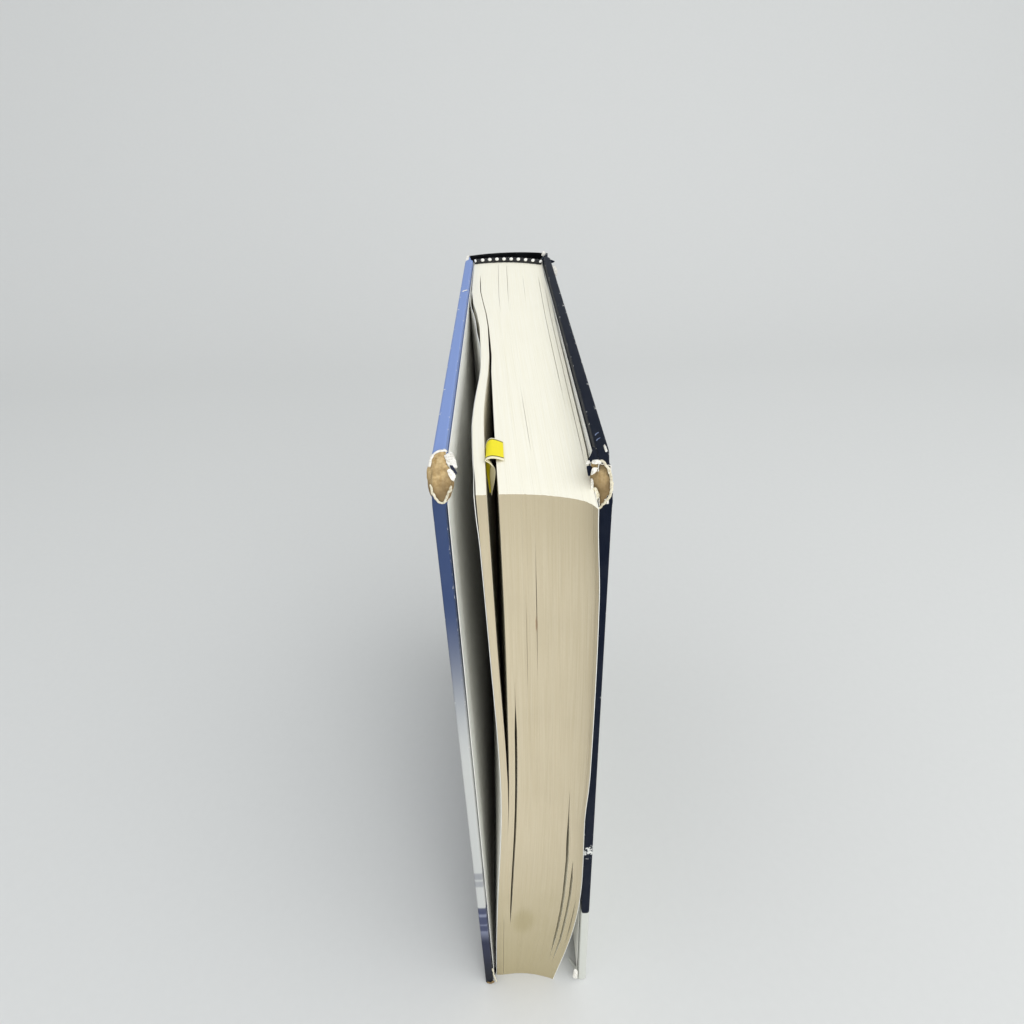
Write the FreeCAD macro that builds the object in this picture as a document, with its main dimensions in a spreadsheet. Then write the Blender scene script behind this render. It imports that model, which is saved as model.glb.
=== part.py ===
"""Worn hardcover textbook: a rounded page block in a case of two hinged boards.

Frame: +Z up (the book stands on its tail), X across the thickness (front cover at -X,
back cover at +X), Y along the depth (fore-edge at -Y, spine at +Y).
Origin: centre of the bounding box, on the surface that the book stands on.
The case is drawn closed and square, and each cover is then turned open by its toe-out.
The page block is drawn upright, and then tilted because it sags at the fore-edge.
"""
import FreeCAD
import Part
import Sketcher
import os

V = FreeCAD.Vector
Z_AXIS = V(0, 0, 1)
FRONT = -1
BACK = 1

# Sizes in millimetres and degrees; a formula starts with = and follows the sizes it names.
DIMENSIONS = {
    # the case
    "case_height": 260.0,        # boards and spine, tail to head
    "case_depth": 210.5,         # boards' fore-edge to the back of the spine
    "spine_width": 39.7,         # over both covers, at the joints
    "spine_drop": 4.6,           # how far the spine's shoulders lie in front of its back
    "joint_width": 8.6,          # flexible groove between a board and the spine
    "groove_depth": 1.6,
    "cover_paper": 0.3,          # printed and laminated
    "board": 2.6,                # greyboard
    "board_setback": 0.5,        # cover paper past the board, at the joint
    "turn_in": 15.0,             # cover paper folded over to the inside
    "spine_turn_in": 14.0,
    "pastedown": 0.2,
    "pastedown_margin": 3.0,     # turn-in left showing round the pastedown
    "flange_width": 25.0,        # cloth glued to the board beside the joint
    "inlay": 0.6,                # card strip that stiffens the spine
    "inlay_inset": 1.0,          # its edges, inside the spine's shoulders
    "glue": 0.05,                # glue line under what is stuck to a round face
    "strip_gap": 0.4,            # between spine paper and cover paper, at the crease
    "hinge_out": 0.15,           # crease line outside the cover's face
    "front_toe_out": 0.56,       # degrees that the cover stands open
    "back_toe_out": 0.62,
    # the worn head fore-edge corners
    "corner_round": 6.0,
    "corner_bare": 9.5,          # board stripped of paper, along each edge
    "corner_bare_round": 11.0,
    "swell_thick": 4.9,
    "swell_long": 10.0,
    "swell_wide": 5.3,
    "swell_inset": 4.25,         # centre of the swelling, in from head and fore-edge
    "front_swell_out": 0.3,      # and out from the middle of the board
    "back_swell_out": -0.9,
    # the page block, in its own frame: y from fore-edge to spine, z from tail to head
    "square": 3.0,               # boards past the leaves at head and tail
    "leaf_height": "=case_height - 2 * square",
    "block_fore_back": 3.2,      # tail fore-edge behind the boards' fore-edge
    "spine_room": 3.3,           # block's apex to the back of the case
    "leaf_depth": "=case_depth - block_fore_back - spine_room",
    "cover_thick": "=2 * cover_paper + board + pastedown",
    "block_room": 0.55,          # block to each cover, at the shoulders
    "block_width": "=spine_width - 2 * cover_thick - 2 * block_room",
    "front_ear_drop": 1.9,       # front shoulder, before the spine's apex
    "back_ear_drop": 7.0,        # back shoulder: the block is cocked
    "round_share": 1.12,
    "spine_round": "=round_share * block_width",  # radius of the rounded spine
    "fore_round": 31.0,          # radius of the hollow fore-edge
    "fore_cock": 5.6,            # back leaves stand forward of front ones
    "loose_back": 0.4,           # loose front leaves behind the main ones
    "front_fixed": 62.0,         # leaves lie along the front board this far from the spine
    "back_fixed": 84.0,
    "slit_fixed": 46.0,          # root of the open slit, from the spine
    "part_front": "=leaf_depth - front_fixed",
    "part_back": "=leaf_depth - back_fixed",
    "slit_depth": "=leaf_depth - slit_fixed",
    "slit_inset": 3.2,           # thickness of the loose front leaves at that root
    "leaf_gap": 0.2,             # flyleaf to block
    "flyleaf": 0.15,
    "flyleaf_short": 0.6,        # its edge behind the leaves' fore-edge
    "flyleaf_fold": 1.5,         # its fold before the block's shoulder
    "block_sag": 1.0,            # degrees
    "block_lift": 0.2,           # tail fore-edge above the surface
    # heights at which the spread of the fore-edge is given, tail and head apart
    "height_2": 70.0,
    "height_3": 150.0,
    "head_part": 29.0,
    "height_4": "=leaf_height - head_part",
    # spread of the leaves at the fore-edge, across from the middle of the spine
    "loose_left_1": 16.6,
    "loose_left_2": 13.3,
    "loose_left_3": 9.6,
    "loose_left_4": 10.9,
    "loose_left_5": 12.0,
    "loose_right_1": 14.2,
    "loose_right_2": 10.7,
    "loose_right_3": 7.5,
    "loose_right_4": 8.0,
    "loose_right_5": 8.9,
    "main_left_1": 13.9,
    "main_left_2": 10.4,
    "main_left_3": 6.5,
    "main_left_4": 5.3,
    "main_left_5": 5.2,
    "main_right_1": 8.0,
    "main_right_2": 16.6,
    "main_right_3": 17.4,
    "main_right_4": 17.5,
    "main_right_5": 16.5,
    # linings and bands on the spine of the block
    "mull": 0.3,
    "band_tape": 14.0,           # height of a band's tape
    "tape": 0.4,
    "lining": 0.3,
    "band_bead": 2.0,            # height of a band's bead
    "band_over": 2.4,            # the bead's reach over the leaves
    "band_round": 0.9,
    # the paper slip caught in the slit
    "slip_width": 12.6,
    "slip_thick": 0.25,
    "slip_from_fore": 14.4,
    "slip_rest": 2.6,            # how much of it lies on the main block
    "slip_bend": 2.2,
    "slip_drop": 11.0,           # how far its free end hangs into the slit
    # from the middle of the case to the middle of the bounding box
    "frame_shift_x": 0.449,
    "frame_shift_y": 3.416,
}

doc = FreeCAD.newDocument("textbook")
sheet = doc.addObject("Spreadsheet::Sheet", "Dims")
for row, (word, number) in enumerate(DIMENSIONS.items(), start=1):
    sheet.set("A%d" % row, word)
    sheet.set("B%d" % row, str(number))
    sheet.setAlias("B%d" % row, word)
doc.recompute()

# ------------------------------------------------------------ places used more than once
CASE_HALF = "(Dims.spine_width / 2)"
FORE_Y = "(-Dims.case_depth / 2)"
SPINE_Y = "(Dims.case_depth / 2)"
SHOULDER_Y = "(%s - Dims.spine_drop)" % SPINE_Y
BOARD_OUT = "(%s - Dims.cover_paper)" % CASE_HALF
BOARD_IN = "(%s - Dims.board)" % BOARD_OUT
TURN_IN_FACE = "(%s - Dims.cover_paper)" % BOARD_IN
PASTE_IN = "(%s - Dims.pastedown)" % TURN_IN_FACE
PAPER_END_Y = "(%s - Dims.joint_width)" % SHOULDER_Y
BOARD_END_Y = "(%s - Dims.board_setback)" % PAPER_END_Y
BOARD_FORE_Y = "(%s + Dims.cover_paper)" % FORE_Y
BOARD_TOP_Z = "(Dims.case_height - Dims.cover_paper)"
INLAY_NEAR = "(Dims.cover_paper + Dims.glue)"
INLAY_FAR = "(%s + Dims.inlay)" % INLAY_NEAR
BLOCK_HALF = "(Dims.block_width / 2)"
HEIGHTS = ["0", "Dims.height_2", "Dims.height_3", "Dims.height_4", "Dims.leaf_height"]
OVER = "2"                       # how far a cutting sketch runs past what it cuts


def value(expression):
    """The number that an expression on the sheet gives."""
    return float(sheet.evalExpression(expression))


def arc_radius(chord, rise):
    return "((%s / 2)^2 + %s^2) / (2 * %s)" % (chord, rise, rise)


def case_place():
    """The case's frame in the book's."""
    shift = V(value("Dims.frame_shift_x"), value("Dims.frame_shift_y"), 0)
    return FreeCAD.Placement(shift, FreeCAD.Rotation())


def hinge(side):
    """A point on a cover's crease line, in the case's frame."""
    across = side * value("%s + Dims.hinge_out" % CASE_HALF)
    return V(across, value("%s - Dims.joint_width / 2" % SHOULDER_Y), 0)


def cover_place(side):
    """A cover, turned about its crease by its toe-out."""
    toe_out = value("Dims.front_toe_out" if side == FRONT else "Dims.back_toe_out")
    turn = FreeCAD.Rotation(Z_AXIS, side * toe_out)
    return case_place().multiply(FreeCAD.Placement(V(), turn, hinge(side)))


def block_place():
    """The page block's frame: tilted about the tail of its fore-edge."""
    fore_y = value("%s + Dims.block_fore_back" % FORE_Y)
    tilt = FreeCAD.Rotation(V(1, 0, 0), value("Dims.block_sag"))
    spot = V(0, fore_y, value("Dims.block_lift"))
    return case_place().multiply(FreeCAD.Placement(spot, tilt))


# ------------------------------------------------------------ drawing
def bind(thing, **expressions):
    for name, expression in expressions.items():
        thing.setExpression(name, expression)


def body(label):
    made = doc.addObject("PartDesign::Body", label)
    made.Label = label
    return made


def body_sketch(owner, role, word, raised="0"):
    """A sketch on one of the body's own origin planes, raised along its normal."""
    plane = next(f for f in owner.Origin.OriginFeatures if f.Role == role)
    made = owner.newObject("Sketcher::SketchObject", "%s_%s" % (owner.Label, word))
    made.AttachmentSupport = (plane, [""])
    made.MapMode = "FlatFace"
    made.setExpression("AttachmentOffset.Base.z", raised)
    return made


def free_sketch(name, raised="0"):
    """A level sketch outside any body."""
    made = doc.addObject("Sketcher::SketchObject", name)
    made.setExpression("Placement.Base.z", raised)
    return made


def end_at(sketch, edge, spot):
    """Which end of an edge, 1 or 2, lies at a spot: an arc may run either way."""
    return 1 if (sketch.getPoint(edge, 1) - spot).Length < 1e-6 else 2


def hold(sketch, kind, numbers, expression):
    index = sketch.addConstraint(Sketcher.Constraint(kind, *numbers, value(expression)))
    sketch.setExpression("Constraints[%d]" % index, expression)


def outline(sketch, corners, arcs=None, closed=True):
    """Edges through corners given as expressions; arcs = {edge: (radius, bulge)}.

    A bulge of 1 lies on the right of the way along the outline, -1 on the left.
    """
    arcs = arcs or {}
    first_edge = sketch.GeometryCount
    spots = [V(value(x), value(y), 0) for x, y in corners]
    edges = len(corners) if closed else len(corners) - 1
    for edge in range(edges):
        start = spots[edge]
        stop = spots[(edge + 1) % len(spots)]
        if edge in arcs:
            radius, bulge = arcs[edge]
            chord = stop - start
            rise = value(radius) - (value(radius) ** 2 - chord.Length ** 2 / 4) ** 0.5
            across = V(chord.y, -chord.x, 0).normalize()
            sketch.addGeometry(Part.Arc(start, (start + stop) / 2 + across * bulge * rise, stop))
        else:
            sketch.addGeometry(Part.LineSegment(start, stop))
    for edge in range(edges):
        number = first_edge + edge
        start_end = end_at(sketch, number, spots[edge])
        held = [(start_end, corners[edge])]
        if not closed and edge == edges - 1:
            held.append((3 - start_end, corners[edge + 1]))
        for end, (x, y) in held:
            hold(sketch, "DistanceX", (-1, 1, number, end), x)
            hold(sketch, "DistanceY", (-1, 1, number, end), y)
        if edge in arcs:
            hold(sketch, "Radius", (number,), arcs[edge][0])
    for edge in range(edges if closed else edges - 1):
        number = first_edge + edge
        following = first_edge + (edge + 1) % edges
        spot = spots[(edge + 1) % len(spots)]
        stop_end = 3 - end_at(sketch, number, spots[edge])
        start_end = end_at(sketch, following, spot)
        joint = ("Coincident", number, stop_end, following, start_end)
        sketch.addConstraint(Sketcher.Constraint(*joint))
    return sketch


def rectangle(sketch, low, high):
    (x0, y0), (x1, y1) = low, high
    return outline(sketch, [(x0, y0), (x1, y0), (x1, y1), (x0, y1)])


def pad_inwards(owner, sketch, word, length, side):
    """Pad towards the middle of the book."""
    made = owner.newObject("PartDesign::Pad", "%s_%s" % (owner.Label, word))
    made.Profile = sketch
    made.Reversed = side == BACK
    bind(made, Length=length)


def pocket(owner, sketch, word, length=None, along_normal=True):
    """Cut along the sketch's normal, against it, or both ways right through."""
    made = owner.newObject("PartDesign::Pocket", "%s_%s" % (owner.Label, word))
    made.Profile = sketch
    if length is None:
        made.Type = "ThroughAll"
        made.Midplane = True
    else:
        made.Reversed = along_normal
        bind(made, Length=length)


def layer(label, path, thick, tall):
    """A sheet of even thickness on a path, extruded upwards; positive is inwards."""
    face = doc.addObject("Part::Offset2D", label + "_face")
    face.Source = path
    face.Mode = "Skin"
    face.Join = "Intersection"
    face.Fill = True
    bind(face, Value=thick)
    made = doc.addObject("Part::Extrusion", label)
    made.Label = label
    made.Base = face
    made.DirMode = "Custom"
    made.Dir = Z_AXIS
    made.Solid = True
    bind(made, LengthFwd=tall)
    return made


def layer_between(label, path, near, far, tall):
    """The same sheet, held off its path: what lies between two distances from it."""
    made = doc.addObject("Part::Cut", label)
    made.Label = label
    made.Base = layer(label + "_far", path, far, tall)
    made.Tool = layer(label + "_near", path, near, tall)
    return made


def joined(label, pieces):
    made = doc.addObject("Part::MultiFuse", label)
    made.Label = label
    made.Shapes = pieces
    return made


# ------------------------------------------------------------ covers
def bare_corner(owner):
    """Strip the sheet from the worn head fore-edge corner."""
    cut = body_sketch(owner, "YZ_Plane", "bare_corner")
    front = "(%s - %s)" % (FORE_Y, OVER)
    top = "(Dims.case_height + %s)" % OVER
    fore_end = "(Dims.case_height - Dims.corner_bare)"
    head_end = "(%s + Dims.corner_bare)" % FORE_Y
    corners = [
        (front, top),
        (front, fore_end),
        (FORE_Y, fore_end),
        (head_end, "Dims.case_height"),
        (head_end, top),
    ]
    outline(cut, corners, arcs={2: ("Dims.corner_bare_round", 1)})
    pocket(owner, cut, "corner_cut")


def cover_board(label, side):
    """Greyboard, its head fore-edge corner worn round and swollen."""
    owner = body(label)
    face = body_sketch(owner, "YZ_Plane", "face", "%d * %s" % (side, BOARD_OUT))
    corners = [
        (BOARD_FORE_Y, "Dims.cover_paper"),
        (BOARD_END_Y, "Dims.cover_paper"),
        (BOARD_END_Y, BOARD_TOP_Z),
        ("%s + Dims.corner_round" % BOARD_FORE_Y, BOARD_TOP_Z),
        (BOARD_FORE_Y, "%s - Dims.corner_round" % BOARD_TOP_Z),
    ]
    outline(face, corners, arcs={3: ("Dims.corner_round", 1)})
    pad_inwards(owner, face, "pad", "Dims.board", side)
    swelling = owner.newObject("PartDesign::AdditiveEllipsoid", label + "_swelling")
    swelling.Placement = FreeCAD.Placement(V(), FreeCAD.Rotation(V(1, 0, 0), 45))
    out = "Dims.front_swell_out" if side == FRONT else "Dims.back_swell_out"
    bind(swelling, Radius1="Dims.swell_wide / 2", Radius2="Dims.swell_thick / 2")
    bind(swelling, Radius3="Dims.swell_long / 2")
    across = "%d * (%s - Dims.board / 2 + %s)" % (side, BOARD_OUT, out)
    swelling.setExpression("Placement.Base.x", across)
    swelling.setExpression("Placement.Base.y", "%s + Dims.swell_inset" % FORE_Y)
    swelling.setExpression("Placement.Base.z", "Dims.case_height - Dims.swell_inset")
    return owner


def cover_paper(label, side):
    """Printed paper over the board's outer face, turned in over three edges."""
    owner = body(label)
    face = body_sketch(owner, "YZ_Plane", "face", "%d * %s" % (side, CASE_HALF))
    rectangle(face, (FORE_Y, "0"), (PAPER_END_Y, "Dims.case_height"))
    pad_inwards(owner, face, "pad", "%s - %s" % (CASE_HALF, TURN_IN_FACE), side)
    past_joint = "%s + %s" % (PAPER_END_Y, OVER)
    room = body_sketch(owner, "XY_Plane", "board_room", "Dims.cover_paper")
    near = "%d * %s" % (side, BOARD_IN)
    far = "%d * %s" % (side, BOARD_OUT)
    rectangle(room, (near, BOARD_FORE_Y), (far, past_joint))
    pocket(owner, room, "room_cut", "Dims.case_height - 2 * Dims.cover_paper")
    window = body_sketch(owner, "YZ_Plane", "window", "%d * %s" % (side, BOARD_IN))
    low = ("%s + Dims.turn_in" % FORE_Y, "Dims.turn_in")
    high = (past_joint, "Dims.case_height - Dims.turn_in")
    rectangle(window, low, high)
    pocket(owner, window, "window_cut", "%s - %s + %s" % (BOARD_IN, TURN_IN_FACE, OVER), side == FRONT)
    bare_corner(owner)
    return owner


def pastedown(label, side):
    """Endpaper half glued inside the cover: it steps down from the turn-ins to the board."""
    owner = body(label)
    face = body_sketch(owner, "YZ_Plane", "face", "%d * %s" % (side, BOARD_IN))
    margin = "Dims.pastedown_margin"
    low = ("%s + %s" % (FORE_Y, margin), margin)
    high = (BOARD_END_Y, "Dims.case_height - %s" % margin)
    rectangle(face, low, high)
    pad_inwards(owner, face, "pad", "%s - %s" % (BOARD_IN, PASTE_IN), side)
    inner_low = ("%s + Dims.turn_in" % FORE_Y, "Dims.turn_in")
    inner_high = ("%s - Dims.flange_width" % BOARD_END_Y, "Dims.case_height - Dims.turn_in")
    rim = body_sketch(owner, "YZ_Plane", "rim", "%d * %s" % (side, BOARD_IN))
    outer_low = tuple("%s - %s" % (place, OVER) for place in low)
    outer_high = tuple("%s + %s" % (place, OVER) for place in high)
    rectangle(rim, outer_low, outer_high)
    rectangle(rim, inner_low, inner_high)
    pocket(owner, rim, "rim_cut", "%s - %s" % (BOARD_IN, TURN_IN_FACE), side == FRONT)
    hollow = body_sketch(owner, "YZ_Plane", "hollow", "%d * %s" % (side, PASTE_IN))
    hollow_low = tuple("%s + Dims.pastedown" % place for place in inner_low)
    hollow_high = tuple("%s - Dims.pastedown" % place for place in inner_high)
    rectangle(hollow, hollow_low, hollow_high)
    pocket(owner, hollow, "hollow_cut", "Dims.cover_paper", side == BACK)
    bare_corner(owner)
    return owner


def cloth_flange(label, side):
    """The spine cloth's edge, glued to the board beside the joint."""
    made = doc.addObject("Part::Box", label)
    made.Label = label
    bind(made, Length="Dims.cover_paper", Width="Dims.flange_width")
    bind(made, Height="Dims.case_height - 2 * Dims.turn_in")
    inner = BOARD_IN if side == FRONT else TURN_IN_FACE
    corner = V(side * value(inner), value("%s - Dims.flange_width" % BOARD_END_Y), value("Dims.turn_in"))
    return made, FreeCAD.Placement(corner, FreeCAD.Rotation())


# ------------------------------------------------------------ spine of the case
def spine_path(name, raised):
    """Outer face of the case's spine: groove, rounded back, groove."""
    groove_y = "%s + Dims.strip_gap" % PAPER_END_Y
    groove_chord = "(Dims.joint_width - Dims.strip_gap)"
    groove = arc_radius(groove_chord, "Dims.groove_depth")
    corners = [
        ("-%s" % CASE_HALF, groove_y),
        ("-%s" % CASE_HALF, SHOULDER_Y),
        (CASE_HALF, SHOULDER_Y),
        (CASE_HALF, groove_y),
    ]
    back = arc_radius("Dims.spine_width", "Dims.spine_drop")
    arcs = {0: (groove, 1), 1: (back, -1), 2: (groove, 1)}
    return outline(free_sketch(name, raised), corners, arcs, closed=False)


def inlay_path(name, raised):
    """Outer face of the case's spine, a little inside its shoulders."""
    back = arc_radius("Dims.spine_width", "Dims.spine_drop")
    reach = "(%s - Dims.inlay_inset)" % CASE_HALF
    end_y = "%s - (%s) + sqrt((%s)^2 - %s^2)" % (SPINE_Y, back, back, reach)
    corners = [("-%s" % reach, end_y), (reach, end_y)]
    return outline(free_sketch(name, raised), corners, {0: (back, -1)}, closed=False)


def spine_cover():
    """Cover paper round the spine, folded in over the card strip at head and tail."""
    near = "(%s + Dims.glue)" % INLAY_FAR
    far = "(%s + Dims.cover_paper)" % near
    path = spine_path("spine_path", "0")
    pieces = [layer("spine_outside", path, "Dims.cover_paper", "Dims.case_height")]
    fold_levels = {"tail": "0", "head": "Dims.case_height - Dims.cover_paper"}
    turn_levels = {"tail": "0", "head": "Dims.case_height - Dims.spine_turn_in"}
    for end in ("tail", "head"):
        fold_path = spine_path("spine_%s_fold_path" % end, fold_levels[end])
        turn_path = spine_path("spine_%s_turn_path" % end, turn_levels[end])
        pieces.append(layer("spine_%s_fold" % end, fold_path, far, "Dims.cover_paper"))
        turn = layer_between("spine_%s_turn" % end, turn_path, near, far, "Dims.spine_turn_in")
        pieces.append(turn)
    trimmed = doc.addObject("Part::Cut", "spine_cover")
    trimmed.Label = "spine_cover"
    trimmed.Base = joined("spine_wrap", pieces)
    trimmed.Tool = crease_trim()
    return trimmed


def crease_trim():
    """Everything in front of the two creases, where the spine's paper ends square."""
    box = doc.addObject("Part::Box", "crease_trim")
    bind(box, Length="2 * Dims.spine_width", Width="Dims.joint_width", Height="2 * Dims.case_height")
    box.setExpression("Placement.Base.x", "-Dims.spine_width")
    box.setExpression("Placement.Base.y", "%s + Dims.strip_gap - Dims.joint_width" % PAPER_END_Y)
    box.setExpression("Placement.Base.z", "-Dims.case_height / 2")
    return box


def spine_inlay():
    path = inlay_path("inlay_path", "Dims.cover_paper")
    tall = "Dims.case_height - 2 * Dims.cover_paper"
    return layer_between("spine_inlay", path, INLAY_NEAR, INLAY_FAR, tall)


# ------------------------------------------------------------ page block
FRONT_EAR = ("-%s" % BLOCK_HALF, "Dims.leaf_depth - Dims.front_ear_drop")
BACK_EAR = (BLOCK_HALF, "Dims.leaf_depth - Dims.back_ear_drop")


def page_block():
    """All the leaves as one solid: rounded spine, hollow fore-edge, one open slit."""
    owner = body("page_block")
    sections = []
    for number, height in enumerate(HEIGHTS, start=1):
        section = body_sketch(owner, "XY_Plane", "section_%d" % number, height)
        corners = [
            FRONT_EAR,
            BACK_EAR,
            (BLOCK_HALF, "Dims.part_back"),
            ("Dims.main_right_%d" % number, "-Dims.fore_cock"),
            ("-Dims.main_left_%d" % number, "0"),
            ("-%s + Dims.slit_inset" % BLOCK_HALF, "Dims.slit_depth"),
            ("-Dims.loose_right_%d" % number, "Dims.loose_back"),
            ("-Dims.loose_left_%d" % number, "Dims.loose_back"),
            ("-%s" % BLOCK_HALF, "Dims.part_front"),
        ]
        arcs = {0: ("Dims.spine_round", -1), 3: ("Dims.fore_round", 1)}
        sections.append(outline(section, corners, arcs))
    loft(owner, sections)
    return owner


def loft(owner, sections):
    made = owner.newObject("PartDesign::AdditiveLoft", owner.Label + "_loft")
    made.Profile = sections[0]
    made.Sections = sections[1:]


def flyleaf(label, side):
    """Free endpaper: it lies along the outer face of the block."""
    owner = body(label)
    sections = []
    near = "Dims.leaf_gap"
    far = "(Dims.leaf_gap + Dims.flyleaf)"
    ear = FRONT_EAR if side == FRONT else BACK_EAR
    part = "Dims.part_front" if side == FRONT else "Dims.part_back"
    edge = "Dims.loose_left_%d" if side == FRONT else "Dims.main_right_%d"
    edge_y = "Dims.loose_back" if side == FRONT else "-Dims.fore_cock"
    for number, height in enumerate(HEIGHTS, start=1):
        section = body_sketch(owner, "XY_Plane", "section_%d" % number, height)
        back = "%s - Dims.flyleaf_fold" % ear[1]
        front = "%s + Dims.flyleaf_short" % edge_y
        spread = edge % number
        corners = []
        for away in (near, far):
            run = [
                ("%d * (%s + %s)" % (side, BLOCK_HALF, away), back),
                ("%d * (%s + %s)" % (side, BLOCK_HALF, away), part),
                ("%d * (%s + %s)" % (side, spread, away), front),
            ]
            corners += run if away == near else run[::-1]
        sections.append(outline(section, corners))
    loft(owner, sections)
    return owner


def block_spine_path(name, raised):
    """The rounded spine of the block, with the glue line on it."""
    corners = [(x, "%s + Dims.glue" % y) for x, y in (FRONT_EAR, BACK_EAR)]
    return outline(free_sketch(name, raised), corners, {0: ("Dims.spine_round", -1)}, closed=False)


def spine_mull():
    """Open cloth glued to the spine of the block, between the two bands."""
    path = block_spine_path("mull_path", "Dims.band_tape")
    return layer("spine_mull", path, "-Dims.mull", "Dims.leaf_height - 2 * Dims.band_tape")


def spine_lining():
    """Paper over the cloth."""
    path = block_spine_path("lining_path", "Dims.band_tape")
    tall = "Dims.leaf_height - 2 * Dims.band_tape"
    far = "-(Dims.mull + Dims.lining)"
    return layer_between("spine_lining", path, "-Dims.mull", far, tall)


def spine_band(label, at_head):
    """A worked band: a tape on the spine, with a round bead over the ends of the leaves."""
    bead_z = "Dims.leaf_height" if at_head else "-Dims.band_bead"
    tape_z = "Dims.leaf_height - Dims.band_tape" if at_head else "-Dims.band_bead / 2"
    tape_path = block_spine_path(label + "_tape_path", tape_z)
    tape = layer(label + "_tape", tape_path, "-Dims.tape", "Dims.band_tape + Dims.band_bead / 2")
    bead_path = block_spine_path(label + "_bead_path", bead_z)
    bead = layer(label + "_bead", bead_path, "Dims.band_over", "Dims.band_bead")
    doc.recompute()
    free_z = value(bead_z)
    if at_head:
        free_z += value("Dims.band_bead")
    radius = value("Dims.band_round")
    long_edges = []
    for number, edge in enumerate(bead.Shape.Edges, start=1):
        level = all(abs(vertex.Z - free_z) < 1e-6 for vertex in edge.Vertexes)
        if level and edge.Length > value(BLOCK_HALF):
            long_edges.append((number, radius, radius))
    rounded = doc.addObject("Part::Fillet", label + "_round_bead")
    rounded.Base = bead
    rounded.Edges = long_edges
    return joined(label, [tape, rounded])


def paper_slip():
    """A slip of paper that lies on the head, bends over the slit and hangs into it."""
    path = doc.addObject("Sketcher::SketchObject", "slip_path")
    path.Placement = FreeCAD.Placement(V(), FreeCAD.Rotation(V(1, 0, 0), 90))
    top = "(Dims.leaf_height + Dims.glue + Dims.slip_thick)"
    rest_x = "-Dims.main_left_5 + Dims.slip_rest"
    wall_x = "(-Dims.loose_right_5 + Dims.slip_thick)"
    corners = [
        (rest_x, top),
        ("%s + Dims.slip_bend" % wall_x, top),
        (wall_x, "%s - Dims.slip_bend" % top),
        (wall_x, "Dims.leaf_height - Dims.slip_drop"),
    ]
    outline(path, corners, {1: ("Dims.slip_bend", 1)}, closed=False)
    face = doc.addObject("Part::Offset2D", "slip_face")
    face.Source = path
    face.Mode = "Skin"
    face.Fill = True
    bind(face, Value="Dims.slip_thick")
    made = doc.addObject("Part::Extrusion", "paper_slip")
    made.Label = "paper_slip"
    made.Base = face
    made.DirMode = "Custom"
    made.Dir = V(0, 1, 0)
    made.Solid = True
    bind(made, LengthFwd="Dims.slip_width")
    spot = FreeCAD.Placement(V(0, value("Dims.slip_from_fore"), 0), FreeCAD.Rotation())
    return made, block_place().multiply(spot)


# ------------------------------------------------------------ assembly
def build():
    parts = []
    for word, side in (("front", FRONT), ("back", BACK)):
        place = cover_place(side)
        parts.append((cover_board(word + "_board", side), place))
        parts.append((cover_paper(word + "_cover_paper", side), place))
        parts.append((pastedown(word + "_pastedown", side), place))
        flange, spot = cloth_flange(word + "_cloth_flange", side)
        parts.append((flange, place.multiply(spot)))
    parts.append((spine_cover(), case_place()))
    parts.append((spine_inlay(), case_place()))
    in_block = [page_block(), flyleaf("front_flyleaf", FRONT), flyleaf("back_flyleaf", BACK)]
    in_block += [spine_mull(), spine_lining()]
    in_block += [spine_band("head_band", True), spine_band("tail_band", False)]
    parts += [(part, block_place()) for part in in_block]
    parts.append(paper_slip())
    doc.recompute()
    for part, place in parts:
        part.Placement = place
    doc.recompute()
    return [part for part, _ in parts]


def check(parts):
    for thing in doc.Objects:
        if "Invalid" in thing.State or "Error" in thing.State:
            raise RuntimeError("%s failed: %s" % (thing.Label, thing.State))
    for part in parts:
        if part.Shape.isNull() or not part.Shape.isValid():
            raise RuntimeError("%s has no valid shape" % part.Label)


def write(parts):
    os.makedirs("parts", exist_ok=True)
    for part in parts:
        part.Shape.exportStep("parts/%s.step" % part.Label)
        box = part.Shape.BoundBox
        print("%-20s solids %d  volume %10.1f  x %.2f..%.2f  y %.2f..%.2f  z %.2f..%.2f" % (
            part.Label, len(part.Shape.Solids), part.Shape.Volume,
            box.XMin, box.XMax, box.YMin, box.YMax, box.ZMin, box.ZMax))


made = build()
check(made)
write(made)
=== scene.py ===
"""Worn hardcover textbook: its printed case, boards, leaves, bands and torn corners.

Lengths in the modelling code are millimetres. Two frames of the book's own are used:
the case's (closed, square, x from the middle of the spine) and the leaves'
(x across, y from fore-edge to spine, z from tail to head, before the block sags).
"""
import math
import random

import bmesh
import bpy
import numpy as np
from bpy.props import FloatProperty, FloatVectorProperty, IntProperty, PointerProperty
from mathutils import Matrix, Vector, noise


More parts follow.
